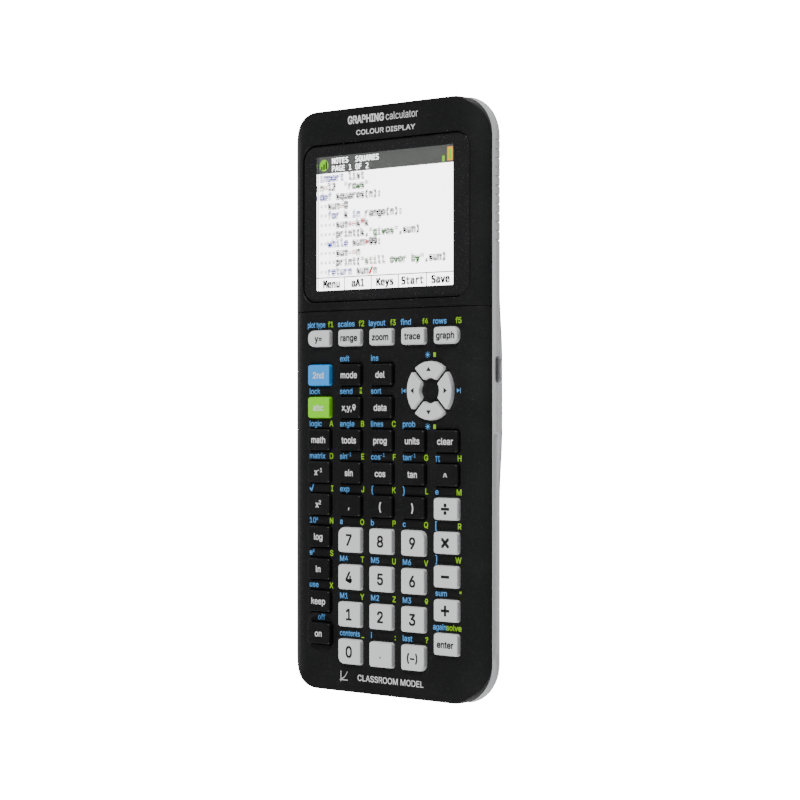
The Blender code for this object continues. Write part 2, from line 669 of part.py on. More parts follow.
def make_rear_cover():
    """A shell lofted through the body's outline, then cut for the battery, screws and port."""
    outer = rear_section(0.0)
    inner = rear_section(CASE_WALL)
    rings = [case_ring(*level) for level in outer]
    rings.append(case_ring(RIM_INSET, REAR_TOP_Z, 0.0))
    rings.append(case_ring(CASE_WALL, REAR_TOP_Z, 0.0))
    rings += [case_ring(*level) for level in inner[::-1]]

    def hull(bm):
        add_stack(bm, rings)
        bmesh.ops.triangulate(bm, faces=bm.faces[:])  # the swell leaves its four-sided faces bent

    rear = solid("rear_cover", hull, "grey_plastic")

    def posts(bm):
        outline = circle_outline(POST_RADIUS, SCREW_STEPS)
        for centre in post_centres():
            add_stack(bm, [
                at_height(outline, FLOOR_Z - POST_FOOT, centre),
                at_height(outline, REAR_TOP_Z, centre),
            ])
        add_stack(bm, [
            at_height(outline, FLOOR_Z - CASE_WALL / 4, (0, COVER_SCREW_Y)),
            at_height(outline, COVER_POST_TOP_Z, (0, COVER_SCREW_Y)),
        ])

    combine(rear, cutter("case_posts", posts), "UNION")

    def feet(bm):
        outline = circle_outline(FOOT_RADIUS, 2 * SCREW_STEPS)
        for x in (-1, 1):
            for y in (-1, 1):
                centre = (x * (HALF_WIDTH - FOOT_INSET_X), y * (HALF_LENGTH - FOOT_INSET_Y))
                add_stack(bm, [
                    at_height(outline, 0.0, centre),
                    at_height(outline, BACK_Z + CASE_WALL / 2, centre),
                ])

    combine(rear, cutter("feet", feet), "UNION")

    def screw_ways(bm):
        for centre in post_centres():
            way = circle_outline(POST_HOLE_RADIUS, SCREW_STEPS)
            recess = circle_outline(POST_RECESS_RADIUS, SCREW_STEPS)
            add_stack(bm, [
                at_height(recess, -CUT_OVERRUN, centre),
                at_height(recess, POST_RECESS_DEPTH, centre),
                at_height(way, POST_RECESS_DEPTH, centre),
                at_height(way, REAR_TOP_Z + CUT_OVERRUN, centre),
            ])

    cut(rear, "screw_ways", screw_ways)

    def battery_bay(bm):
        pocket = rounded_outline(
            COVER_HALF_X + REST_GAP, COVER_HALF_Y + REST_GAP, [BATTERY_CORNER] * 4, 2
        )
        add_stack(bm, [
            at_height(pocket, z, (0, COVER_Y)) for z in (-CUT_OVERRUN, COVER_TOP_Z + REST_GAP)
        ])

    def battery_way(bm):
        bay = rounded_outline(BAY_HALF_X, BAY_HALF_Y, [BATTERY_CORNER] * 4, 2)
        screw = circle_outline(SCREW_SHANK_RADIUS + REST_GAP, SCREW_STEPS)
        top = COVER_POST_TOP_Z + CUT_OVERRUN
        for outline, y in ((bay, BATTERY_Y), (screw, COVER_SCREW_Y)):
            add_stack(bm, [at_height(outline, z, (0, y)) for z in (BACK_Z, top)])

    cut(rear, "battery_bay", battery_bay)
    cut(rear, "battery_way", battery_way)

    def port(bm):
        outline = rounded_outline(PORT_WIDTH / 2, PORT_HEIGHT / 2, [PORT_HEIGHT * 0.45] * 4, 3)
        add_stack(bm, [
            [(x, SOCKET_Y + y, PORT_Z + z) for y, z in outline]
            for x in (SOCKET_MOUTH_X - SOCKET_DEPTH / 2, HALF_WIDTH + CUT_OVERRUN)
        ])

    cut(rear, "port", port)

    def ribs(bm):
        turns = (RIB_START, 1), (0, 1 / 2, 1)
        outside, floor = rear_section(-CUT_OVERRUN, *turns), rear_section(RIB_DEPTH, *turns)
        band = [(HALF_WIDTH - inset, z) for inset, z, _ in outside + floor[::-1]]
        band[len(outside) - 1] = (HALF_WIDTH + CUT_OVERRUN, WIDEST_Z + RIB_WIDTH)
        band[len(outside)] = (HALF_WIDTH - RIB_DEPTH, WIDEST_Z + RIB_WIDTH)
        for rib in range(RIB_COUNT):
            y = HALF_LENGTH - FIRST_RIB_FROM_END - rib * RIB_PITCH
            for sign in (-1, 1):
                section = [(sign * x, z) for x, z in band]
                add_profile_bar(bm, section, y - RIB_WIDTH / 2, y + RIB_WIDTH / 2)

    cut(rear, "grip_ribs", ribs)

    def channels(bm):
        outline = circle_outline(CHANNEL_RADIUS, CHANNEL_STEPS)
        for sign in (-1, 1):
            section = [
                (sign * (HALF_WIDTH + CHANNEL_OUTSET) + x, REAR_TOP_Z - CHANNEL_OUTSET + z)
                for x, z in outline
            ]
            add_profile_bar(bm, section, CHANNEL_END - HALF_LENGTH, CHANNEL_TOP_Y)

    cut(rear, "cover_channels", channels)


def add_box(bm, low, high):
    corners = ((low[0], low[1]), (high[0], low[1]), (high[0], high[1]), (low[0], high[1]))
    add_stack(bm, [at_height(corners, z) for z in (low[2], high[2])])


def make_display():
    window = rounded_outline(WINDOW_HALF_X, WINDOW_HALF_Y, [WINDOW_CORNER] * 4, 3)
    solid("display_window", lambda bm: add_stack(bm, [
        at_height(window, z, (0, WINDOW_Y)) for z in (LEDGE_Z + REST_GAP, WINDOW_TOP_Z)
    ]), "window_black")
    half_x, half_y = PICTURE_HALF_X + PANEL_MARGIN, PICTURE_HALF_Y + PANEL_MARGIN
    top = UNDERSIDE_Z - REST_GAP
    solid("display_panel", lambda bm: add_box(
        bm,
        (PICTURE_SHIFT - half_x, WINDOW_Y - half_y, top - PANEL_THICKNESS),
        (PICTURE_SHIFT + half_x, WINDOW_Y + half_y, top),
    ), "display_white")


def socket_notch(bm):
    """Room for the socket in the edges of the board and, in a thin body, the mat."""
    reach = SOCKET_WIDTH / 2 + REST_GAP
    add_box(
        bm,
        (SOCKET_MOUTH_X - SOCKET_DEPTH - REST_GAP, SOCKET_Y - reach, BACK_Z),
        (HALF_WIDTH, SOCKET_Y + reach, PORT_Z + SOCKET_HEIGHT / 2 + REST_GAP),
    )


def make_key_mat(keys):
    """A rubber sheet with a raised pad under each key."""
    half_x = HALF_WIDTH - MAT_SIDE
    low_y = MAT_END - HALF_LENGTH
    high_y = SEAM_Y - REST_GAP

    def sheet(bm):
        outline = rounded_outline(half_x, (high_y - low_y) / 2, [MAT_THICKNESS] * 4, 1)
        add_stack(bm, [
            at_height(outline, z, (0, (high_y + low_y) / 2)) for z in (MAT_BOTTOM_Z, MAT_TOP_Z)
        ])

    mat = solid("key_mat", sheet, "mat_rubber")

    def pads(bm):
        outline = circle_outline(PAD_RADIUS, PAD_STEPS)
        for key in keys.values():
            add_stack(bm, [
                at_height(outline, MAT_TOP_Z - MAT_THICKNESS / 2, key.centre),
                at_height(outline, PAD_TOP_Z, key.centre),
            ])

    combine(mat, cutter("key_pads", pads), "UNION")

    def post_holes(bm):
        outline = circle_outline(POST_RADIUS + REST_GAP, SCREW_STEPS)
        for centre in post_centres():
            add_stack(bm, [at_height(outline, z, centre) for z in (BACK_Z, FACE_HEIGHT)])

    cut(mat, "mat_post_holes", post_holes)
    cut(mat, "mat_socket_notch", socket_notch)


def make_board_and_socket():
    """The board has a notch in its edge for the socket, which has a steel shell round a tongue."""
    half_x, half_y = HALF_WIDTH - BOARD_SIDE, HALF_LENGTH - BOARD_END
    board = solid("main_board", lambda bm: add_box(
        bm, (-half_x, -half_y, BOARD_BOTTOM_Z), (half_x, half_y, BOARD_TOP_Z)
    ), "board_green")
    back_x = SOCKET_MOUTH_X - SOCKET_DEPTH
    cut(board, "socket_notch", socket_notch)

    def around_socket(bm, inward, low_x, high_x):
        width, height = SOCKET_WIDTH / 2 - inward, SOCKET_HEIGHT / 2 - inward
        add_box(
            bm, (low_x, SOCKET_Y - width, PORT_Z - height), (high_x, SOCKET_Y + width, PORT_Z + height)
        )

    socket = solid(
        "usb_socket", lambda bm: around_socket(bm, 0.0, back_x, SOCKET_MOUTH_X), "steel"
    )
    cut(socket, "socket_inside", lambda bm: around_socket(
        bm, SOCKET_WALL, back_x + 2 * SOCKET_WALL, SOCKET_MOUTH_X + CUT_OVERRUN
    ))
    tongue = cutter("socket_tongue", lambda bm: add_box(
        bm,
        (back_x + SOCKET_WALL, SOCKET_Y - SOCKET_WIDTH / 4, PORT_Z - SOCKET_TONGUE / 2),
        (SOCKET_MOUTH_X - SOCKET_TONGUE, SOCKET_Y + SOCKET_WIDTH / 4, PORT_Z + SOCKET_TONGUE / 2),
    ))
    combine(socket, tongue, "UNION")


def make_battery():
    """A flat battery, and the cover that one screw holds over it."""
    battery = rounded_outline(
        HALF_WIDTH - BATTERY_SIDE, BATTERY_LENGTH / 2, [BATTERY_CORNER] * 4, 2
    )
    levels = (COVER_TOP_Z + REST_GAP, BOARD_BOTTOM_Z - REST_GAP)
    solid("battery_pack", lambda bm: add_stack(bm, [
        at_height(battery, z, (0, BATTERY_Y)) for z in levels
    ]), "battery_wrap")

    plate = rounded_outline(COVER_HALF_X, COVER_HALF_Y, [BATTERY_CORNER - REST_GAP] * 4, 2)
    cover = solid("battery_cover", lambda bm: add_stack(bm, [
        at_height(plate, z, (0, COVER_Y)) for z in (BACK_Z, COVER_TOP_Z)
    ]), "grey_plastic")

    def screw_hole(bm):
        recess = circle_outline(SCREW_HEAD_RADIUS + REST_GAP, SCREW_STEPS)
        way = circle_outline(SCREW_SHANK_RADIUS + REST_GAP, SCREW_STEPS)
        seat = BACK_Z + SCREW_HEAD_DEPTH + REST_GAP
        levels = ((recess, 0.0), (recess, seat), (way, seat), (way, FLOOR_Z))
        add_stack(bm, [at_height(outline, z, (0, COVER_SCREW_Y)) for outline, z in levels])

    cut(cover, "cover_screw_hole", screw_hole)

    head = circle_outline(SCREW_HEAD_RADIUS, SCREW_STEPS)
    shank = circle_outline(SCREW_SHANK_RADIUS, SCREW_STEPS)
    under = BACK_Z + SCREW_HEAD_DEPTH
    levels = ((head, BACK_Z), (head, under), (shank, under), (shank, BOARD_BOTTOM_Z - SCREW_BELOW_BOARD))
    screw = solid("battery_cover_screw", lambda bm: add_stack(bm, [
        at_height(outline, z, (0, COVER_SCREW_Y)) for outline, z in levels
    ]), "steel")

    def cross(bm):
        far, near = SCREW_CROSS_LENGTH, SCREW_CROSS_WIDTH / 2
        quarter = ((far, -near), (far, near), (near, near))
        points = list(quarter)
        for _ in range(3):
            quarter = [(-y, x) for x, y in quarter]
            points += quarter
        add_stack(bm, [
            at_height(points, z, (0, COVER_SCREW_Y)) for z in (0.0, BACK_Z + SCREW_CROSS_DEPTH)
        ])

    cut(screw, "screw_cross", cross)


def main():
    for item in list(bpy.data.objects):
        bpy.data.objects.remove(item)
    keys = all_keys()
    make_front_cover(keys)
    make_rear_cover()
    make_display()
    make_keys(keys)
    make_key_mat(keys)
    make_board_and_socket()
    make_battery()


main()
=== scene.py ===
import json
import math
import os

import bpy
import numpy as np
from mathutils import Matrix, Vector
from mathutils.geometry import delaunay_2d_cdt


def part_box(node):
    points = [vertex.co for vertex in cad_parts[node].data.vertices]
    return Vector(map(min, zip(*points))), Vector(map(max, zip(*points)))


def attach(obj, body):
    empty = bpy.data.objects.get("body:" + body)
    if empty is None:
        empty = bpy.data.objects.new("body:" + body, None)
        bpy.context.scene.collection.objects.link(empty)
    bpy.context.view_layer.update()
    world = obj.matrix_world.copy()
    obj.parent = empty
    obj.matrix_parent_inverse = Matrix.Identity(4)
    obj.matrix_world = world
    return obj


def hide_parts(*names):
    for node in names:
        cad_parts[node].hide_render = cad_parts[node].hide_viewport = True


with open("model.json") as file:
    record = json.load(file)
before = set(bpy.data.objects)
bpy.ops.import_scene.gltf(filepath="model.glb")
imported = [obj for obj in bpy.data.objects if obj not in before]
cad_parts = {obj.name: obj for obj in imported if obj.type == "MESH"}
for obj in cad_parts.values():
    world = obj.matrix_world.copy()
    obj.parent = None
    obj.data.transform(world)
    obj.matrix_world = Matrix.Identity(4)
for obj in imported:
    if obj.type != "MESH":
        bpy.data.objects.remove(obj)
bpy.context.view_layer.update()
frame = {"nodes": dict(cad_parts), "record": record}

mm = 0.001
collection = bpy.context.scene.collection


# Shapes are made in millimetres and scaled once, when a mesh is filled.
def cadBox(node):
    low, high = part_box(node)
    return np.array(low) / mm, np.array(high) / mm


def smoothStep(low, high, value):
    share = np.clip((value - low) / (high - low), 0, 1)
    return share * share * (3 - 2 * share)


# An outline is a closed chain of arcs, rows of (centre x, centre y, radius, first angle, last
# angle, side). Growing it by g adds g to each outer arc's radius and takes g from each inner one's.
def arcRing(arcs, grow, perArc=7):
    arcs = np.asarray(arcs, float)
    share = np.linspace(0, 1, perArc)
    angle = arcs[:, 3:4] + (arcs[:, 4:5] - arcs[:, 3:4]) * share
    radius = arcs[:, 2:3] + arcs[:, 5:6] * grow
    ring = np.stack([np.cos(angle), np.sin(angle)], -1)
    points = arcs[:, None, :2] + radius[..., None] * ring
    return points.reshape(-1, 2), (ring * arcs[:, 5, None, None]).reshape(-1, 2)


def rectArcs(halfX, halfY, radii, centre=(0, 0)):
    radii = np.broadcast_to(radii, 4)
    signX, signY = np.array([1, -1, -1, 1]), np.array([1, 1, -1, -1])
    turn = np.arange(4) * math.pi / 2
    return np.stack([
        centre[0] + signX * (halfX - radii), centre[1] + signY * (halfY - radii), radii,
        turn, turn + math.pi / 2, np.ones(4),
    ], 1)


def circleArcs(radius, centre=(0, 0)):
    return rectArcs(radius, radius, radius, centre)


# A quarter of a ring with rounded corners, less half a slot on each side.
def wedgeArcs(centre, turn, outer, inner, slot, corner):
    far, near = outer - corner, inner + corner
    side = slot / 2 + corner
    farReach = math.pi / 4 - math.asin(side / far)
    nearReach = math.pi / 4 - math.asin(side / near)

    def at(radius, angle):
        return centre[0] + radius * math.cos(angle), centre[1] + radius * math.sin(angle)

    left, right = turn + 0.75 * math.pi, turn + 1.25 * math.pi
    return np.array([
        (*centre, outer, turn - farReach, turn + farReach, 1),
        (*at(far, turn + farReach), corner, turn + farReach, left, 1),
        (*at(near, turn + nearReach), corner, left, turn + nearReach + math.pi, 1),
        (*centre, inner, turn + nearReach, turn - nearReach, -1),
        (*at(near, turn - nearReach), corner, turn - nearReach + math.pi, right, 1),
        (*at(far, turn - farReach), corner, right, turn - farReach + 2 * math.pi, 1),
    ])


# A quarter turn from one (offset, height) to another with its normals, for rounded edges.
def quarterRound(start, end, steps=5, hollow=False):
    angle = np.linspace(0, math.pi / 2, steps)
    across, up = end[0] - start[0], end[1] - start[1]
    if hollow:
        rows = [start[0] + across * np.sin(angle), start[1] + up * (1 - np.cos(angle)),
                np.sin(angle) * np.sign(up), np.cos(angle) * -np.sign(up)]
    else:
        rows = [start[0] + across * (1 - np.cos(angle)), start[1] + up * np.sin(angle),
                np.cos(angle), np.sin(angle)]
    return np.stack(rows, 1)


class Shell:
    # Gathers surface patches with their own normals, then makes one closed mesh of them.
    def __init__(self):
        self.points, self.normals, self.faces, self.slots, self.count = [], [], [], [], 0

    def add(self, points, normals, faces, slot=0):
        points = np.asarray(points, float).reshape(-1, 3)
        normals = np.broadcast_to(np.asarray(normals, float), points.shape)
        self.points.append(points)
        self.normals.append(normals)
        self.faces.extend((np.asarray(f) + self.count).tolist() for f in faces)
        self.slots.extend([slot] * len(faces))
        self.count += len(points)

    # A grid of rows and columns of points. Columns close on themselves unless it is open.
    def grid(self, points, normals=None, slot=0, closed=True, flip=False):
        rows, cols = points.shape[:2]
        if normals is None:
            down = np.gradient(points, axis=0)
            if closed:
                across = np.roll(points, -1, 1) - np.roll(points, 1, 1)
            else:
                across = np.gradient(points, axis=1)
            normals = np.cross(across, down)
            normals *= -1 if flip else 1
            normals /= np.maximum(np.linalg.norm(normals, axis=-1, keepdims=True), 1e-12)
        index = np.arange(rows * cols).reshape(rows, cols)
        if closed:
            index = np.concatenate([index, index[:, :1]], 1)
        quads = np.stack([index[:-1, :-1], index[:-1, 1:], index[1:, 1:], index[1:, :-1]], -1)
        quads = quads.reshape(-1, 4)
        self.add(points, normals.reshape(-1, 3), quads[:, ::-1] if flip else quads, slot)

    # Rings of one outline at the (grow, height, outward normal, upward normal) rows of a profile.
    def rings(self, arcs, profile, perArc=7, heightAt=None, slot=0):
        rows, normals = [], []
        for grow, z, out, up in profile:
            ring, side = arcRing(arcs, grow, perArc)
            base = heightAt(ring) if heightAt else 0
            rows.append(np.column_stack([ring, np.full(len(ring), z) + base]))
            normals.append(np.column_stack([side * out, np.full(len(ring), up)]))
        self.grid(np.array(rows), np.array(normals), slot)
        return rows

    def cap(self, ring, up=1, slot=0):
        order = np.arange(len(ring))
        self.add(ring, (0, 0, up), [order if up > 0 else order[::-1]], slot)

    def build(self, name, materials, body, nodes=(), slotName=None):
        points, normals = np.concatenate(self.points), np.concatenate(self.normals)
        _, first, merged = np.unique(
            np.round(points * 1e4).astype(np.int64), axis=0, return_index=True, return_inverse=True
        )
        merged = merged.reshape(-1)
        faces, corners, slots = [], [], []
        for face, slot in zip(self.faces, self.slots):
            loop = [(merged[i], i) for i in face]
            loop = [a for k, a in enumerate(loop) if a[0] != loop[k - 1][0]]
            if len(loop) > 2:
                faces.append([a[0] for a in loop])
                corners.extend(a[1] for a in loop)
                slots.append(slot)
        mesh = bpy.data.meshes.new(name)
        mesh.from_pydata(points[first] * mm, [], faces)
        for item in materials:
            mesh.materials.append(item)
        mesh.polygons.foreach_set("material_index", np.array(slots, np.int32))
        mesh.polygons.foreach_set("use_smooth", np.ones(len(faces), bool))
        mesh.normals_split_custom_set(normals[corners])
        made = bpy.data.objects.new(name, mesh)
        return place(made, body, nodes)


def place(made, body, nodes=()):
    if made.name not in collection.objects:
        collection.objects.link(made)
    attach(made, body)
    if nodes:
        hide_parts(*nodes)
    return made


# Materials
def addNode(tree, kind, inputs=(), **settings):
    made = tree.nodes.new(kind)
    for key, value in settings.items():
        setattr(made, key, value)
    for key, value in dict(inputs).items():
        if isinstance(value, bpy.types.NodeSocket):
            tree.links.new(value, made.inputs[key])
        else:
            made.inputs[key].default_value = value
    return made


def mathNode(tree, operation, *values, clamp=False):
    return addNode(
        tree, "ShaderNodeMath", dict(enumerate(values)), operation=operation, use_clamp=clamp
    ).outputs[0]


def rangeNode(tree, value, fromLow, fromHigh, toLow, toHigh):
    return addNode(tree, "ShaderNodeMapRange", {
        "Value": value, "From Min": fromLow, "From Max": fromHigh,
        "To Min": toLow, "To Max": toHigh,
    }).outputs[0]


def newGroup(name, inputs, outputs):
    tree = bpy.data.node_groups.new(name, "ShaderNodeTree")
    for label, kind, value in inputs:
        socket = tree.interface.new_socket(label, in_out="INPUT", socket_type=kind)
        socket.default_value = value
    for label, kind in outputs:
        tree.interface.new_socket(label, in_out="OUTPUT", socket_type=kind)
    return tree, tree.nodes.new("NodeGroupInput").outputs, tree.nodes.new("NodeGroupOutput").inputs


# Moulded plastic: spark-eroded grain in the bump, worn and greasy patches in the roughness, a few
# fine scratches, and dust that lightens the colour where it settles on what faces up.
def mouldedGroup():
    tree, given, result = newGroup("mouldedPlastic", [
        ("Colour", "NodeSocketColor", (0.5, 0.5, 0.5, 1)),
        ("Roughness", "NodeSocketFloat", 0.4),
        ("Grain Size", "NodeSocketFloat", 0.00018),
        ("Grain Depth", "NodeSocketFloat", 0.3),
        ("Wear", "NodeSocketFloat", 0.5),
        ("Dust", "NodeSocketFloat", 0.05),
    ], [("Colour", "NodeSocketColor"), ("Roughness", "NodeSocketFloat"),
        ("Normal", "NodeSocketVector")])
    place3 = tree.nodes.new("ShaderNodeTexCoord").outputs["Object"]
    scale = mathNode(tree, "DIVIDE", 1.0, given["Grain Size"])
    grain = addNode(tree, "ShaderNodeTexNoise", {
        "Vector": place3, "Scale": scale, "Detail": 2.0, "Roughness": 0.6,
    }).outputs[0]
    patches = addNode(tree, "ShaderNodeTexNoise", {
        "Vector": place3, "Scale": 60.0, "Detail": 4.0, "Roughness": 0.55, "Distortion": 0.6,
    }).outputs[0]
    stretched = addNode(tree, "ShaderNodeMapping", {
        "Vector": place3, "Rotation": (0.2, 0.1, 0.7), "Scale": (140.0, 2600.0, 900.0),
    }).outputs[0]
    streaks = addNode(tree, "ShaderNodeTexNoise", {
        "Vector": stretched, "Scale": 1.0, "Detail": 1.0,
    }).outputs[0]
    scratches = mathNode(
        tree, "MULTIPLY", rangeNode(tree, streaks, 0.71, 0.76, 0.0, 1.0), given["Wear"]
    )
    specks = addNode(tree, "ShaderNodeTexNoise", {
        "Vector": place3, "Scale": 2600.0, "Detail": 0.0,
    }).outputs[0]
    facing = addNode(tree, "ShaderNodeNewGeometry").outputs["Normal"]
    up = addNode(tree, "ShaderNodeSeparateXYZ", {0: facing}).outputs["Z"]
    dust = mathNode(tree, "MULTIPLY", rangeNode(tree, specks, 0.68, 0.74, 0.0, 1.0),
                    rangeNode(tree, up, 0.3, 0.9, 0.0, 1.0))
    dust = mathNode(tree, "MULTIPLY", dust, given["Dust"])
    film = mathNode(tree, "MULTIPLY", rangeNode(tree, patches, 0.45, 0.7, 0.0, 0.12), given["Dust"])
    lighten = mathNode(tree, "ADD", mathNode(tree, "ADD", dust, film),
                       mathNode(tree, "MULTIPLY", scratches, 0.03), clamp=True)
    tree.links.new(addNode(tree, "ShaderNodeMix", {
        "Factor": lighten, "A": given["Colour"], "B": (0.55, 0.53, 0.50, 1),
    }, data_type="RGBA").outputs["Result"], result["Colour"])
    polish = mathNode(tree, "MULTIPLY", rangeNode(tree, patches, 0.3, 0.7, -0.09, 0.09),
                      given["Wear"])
    rough = mathNode(tree, "ADD", given["Roughness"], polish)
    rough = mathNode(tree, "ADD", rough, mathNode(tree, "MULTIPLY", grain, 0.05))
    tree.links.new(mathNode(tree, "ADD", rough, dust, clamp=True), result["Roughness"])
    height = mathNode(tree, "SUBTRACT", grain, mathNode(tree, "MULTIPLY", scratches, 0.8))
    tree.links.new(addNode(tree, "ShaderNodeBump", {
        "Height": height, "Strength": given["Grain Depth"], "Distance": 0.00004,
    }).outputs[0], result["Normal"])
    return tree


moulded = mouldedGroup()


def plastic(name, colour, roughness, grain=0.3, size=0.00018, wear=0.5, dust=0.05, **more):
    made = bpy.data.materials.new(name)
    made.use_nodes = True
    tree = made.node_tree
    shader = tree.nodes["Principled BSDF"]
    group = addNode(tree, "ShaderNodeGroup", node_tree=moulded)
    for key, value in (("Colour", (*colour, 1)), ("Roughness", roughness), ("Grain Size", size),
                       ("Grain Depth", grain), ("Wear", wear), ("Dust", dust)):
        group.inputs[key].default_value = value
    tree.links.new(group.outputs["Colour"], shader.inputs["Base Color"])
    tree.links.new(group.outputs["Roughness"], shader.inputs["Roughness"])
    tree.links.new(group.outputs["Normal"], shader.inputs["Normal"])
    for key, value in more.items():
        shader.inputs[key.replace("_", " ")].default_value = value
    return made


finishes = {
    "face": plastic("blackFace", (0.0095, 0.0095, 0.010), 0.40, grain=0.2, wear=0.6, dust=0.02,
                    Specular_IOR_Level=0.28),
    "shell": plastic("greyShell", (0.52, 0.53, 0.54), 0.45, grain=0.3, dust=0.02),
    "darkKey": plastic("darkKey", (0.008, 0.008, 0.0085), 0.36, grain=0.12, wear=0.8, dust=0.02,
                       Specular_IOR_Level=0.35),
    "lightKey": plastic("lightKey", (0.80, 0.81, 0.82), 0.32, grain=0.15, wear=0.7, dust=0.0),
    "blueKey": plastic("blueKey", (0.04, 0.38, 1.0), 0.32, grain=0.15, wear=0.7, dust=0.0),
    "greenKey": plastic("greenKey", (0.26, 0.90, 0.0), 0.32, grain=0.15, wear=0.7, dust=0.0),
    "inkWhite": plastic("inkWhite", (0.80, 0.80, 0.80), 0.5, grain=0.1, dust=0.0),
    "inkBlack": plastic("inkBlack", (0.012, 0.012, 0.012), 0.5, grain=0.1, dust=0.0),
    "inkBlue": plastic("inkBlue", (0.11, 0.40, 0.85), 0.5, grain=0.1, dust=0.0),
    "inkGreen": plastic("inkGreen", (0.30, 0.62, 0.01), 0.5, grain=0.1, dust=0.0),
}

# The case. Heights here are measured from the flat of the face.
faceLook = {
    "archWidth": 11.0,  # of each long side that falls away
    "archDrop": 6.6,
    "edgeRound": 0.6,
    "cornerRadius": 12.5,
    "wall": 2.3,
    "holeGap": 0.3,  # round each key
    "holeLip": 0.16,
    "seamWidth": 0.16,
    "seamDepth": 0.42,
    "dishRadius": (5.6, 7.5),
    "dishDepth": 0.45,
}
keyLook = {
    "flange": 0.8,
    "arrowFlange": 0.5,
    "corner": 1.0,
    "roundCorner": 2.4,
    "arrowCorner": 0.5,
    "draft": 0.12,
    "edgeRound": 0.38,
    "sunk": 0.02,  # of the top below the solid's top, so that legends fit
}
caseLow, caseHigh = cadBox("front_cover")
faceZ, partingZ = caseHigh[2], caseLow[2]
caseX, caseY = caseHigh[0], caseHigh[1]
archStart = 42.0 - faceLook["archWidth"]
windowLow, windowHigh = cadBox("display_window")
windowMid, windowHalf = (windowLow + windowHigh) / 2, (windowHigh - windowLow) / 2
arrowNames = ("right", "up", "left", "down")
keyNames = sorted(n[4:] for n in frame["nodes"] if n.startswith("key_") and n != "key_mat")
roundKeys = {
    "y_equals": (0, 1, 1, 0), "graph": (1, 0, 0, 1), "7": (0, 1, 0, 0), "9": (1, 0, 0, 0),
    "0": (0, 0, 1, 0), "negative": (0, 0, 0, 1),
}
keyBoxes = {n: cadBox("key_" + n) for n in keyNames}
keyMiddle = {n: (low + high) / 2 for n, (low, high) in keyBoxes.items()}
keyTopZ = keyBoxes["7"][1][2] - keyLook["sunk"]
ringCentre = (keyMiddle["up"][0], keyMiddle["left"][1])
ringOuter = keyBoxes["up"][1][1] - ringCentre[1] - keyLook["arrowFlange"]
ringInner = 3.9
ringSlot = 1.3


def keyArcs(name):
    if name in arrowNames:
        turn = arrowNames.index(name) * math.pi / 2
        return wedgeArcs(
            ringCentre, turn, ringOuter, ringInner, ringSlot, keyLook["arrowCorner"]
        )
    low, high = keyBoxes[name]
    half = (high - low) / 2 - keyLook["flange"]
    flags = np.array(roundKeys.get(name, (0, 0, 0, 0)))
    radii = np.where(flags == 1, keyLook["roundCorner"], keyLook["corner"])
    return rectArcs(half[0], half[1], np.minimum(radii, half[1] * 0.9), keyMiddle[name][:2])


def outlineInset(points):
    radius = faceLook["cornerRadius"]
    q = np.abs(points) - (np.array([caseX, caseY]) - radius)
    outside = np.linalg.norm(np.maximum(q, 0), axis=-1)
    return radius - outside - np.minimum(q.max(-1), 0)


# Height of the face: a quarter of an ellipse down each long side, a circle's quarter round the
# outline, a bell-shaped groove for the seam and a smooth step down into the power key's dish.
def faceHeight(points):
    points = np.asarray(points, float)
    past = np.clip((np.abs(points[:, 0]) - archStart) / faceLook["archWidth"], 0, 1)
    z = -faceLook["archDrop"] * (1 - np.sqrt(1 - past ** 2))
    rim = np.clip(1 - outlineInset(points) / faceLook["edgeRound"], 0, 1)
    steep = smoothStep(0, 0.6, past)
    z -= faceLook["edgeRound"] * (1 - np.sqrt(np.maximum(1 - rim ** 2, 0))) * (1 - 0.6 * steep)
    seam = (points[:, 1] - seamY) / faceLook["seamWidth"]
    z -= faceLook["seamDepth"] * np.exp(-seam ** 4)
    reach = np.linalg.norm(points - keyMiddle["on"][:2], axis=1)
    z -= faceLook["dishDepth"] * (1 - smoothStep(*faceLook["dishRadius"], reach))
    return np.maximum(faceZ + z, partingZ)


seamY = windowLow[1] - 3.1


def heightNormals(points, height, step=0.01):
    slopes = []
    for axis in (0, 1):
        shift = np.zeros(2)
        shift[axis] = step
        slopes.append((height(points + shift) - height(points - shift)) / (2 * step))
    normals = np.column_stack([-slopes[0], -slopes[1], np.ones(len(points))])
    return normals / np.linalg.norm(normals, axis=1, keepdims=True)


# Triangles over a flat region that keep to the given loops and lines. A test on the middle of
# each triangle says whether it stays.
def triangulate(loops, lines, inside):
    points = np.concatenate([*loops, *lines])
    edges, start = [], 0
    for chain, closed in [(c, True) for c in loops] + [(c, False) for c in lines]:
        index = np.arange(len(chain)) + start
        pairs = np.column_stack([index, np.roll(index, -1)])
        edges.append(pairs if closed else pairs[:-1])
        start += len(chain)
    found = delaunay_2d_cdt(
        points.tolist(), np.concatenate(edges).tolist(), [], 0, 1e-5, False
    )
    flat, faces = np.array(found[0]), np.array(found[2])
    a, b, c = (flat[faces[:, k]] for k in range(3))
    area = np.cross(b - a, c - a)
    keep = inside((a + b + c) / 3) & (np.abs(area) > 1e-9)
    faces = np.where(area[:, None] > 0, faces, faces[:, ::-1])[keep]
    used, faces = np.unique(faces, return_inverse=True)
    return flat[used], faces.reshape(-1, 3)


def insideArcs(points, arcs, grow):
    ring = arcRing(arcs, grow, 9)[0]
    nextRing = np.roll(ring, -1, 0)
    x, y = points[:, 0:1], points[:, 1:2]
    straddles = (ring[:, 1] > y) != (nextRing[:, 1] > y)
    span = nextRing[:, 1] - ring[:, 1]
    span = np.where(span == 0, 1e-12, span)
    crossing = ring[:, 0] + (y - ring[:, 1]) / span * (nextRing[:, 0] - ring[:, 0])
    return (straddles & (x < crossing)).sum(1) % 2 == 1


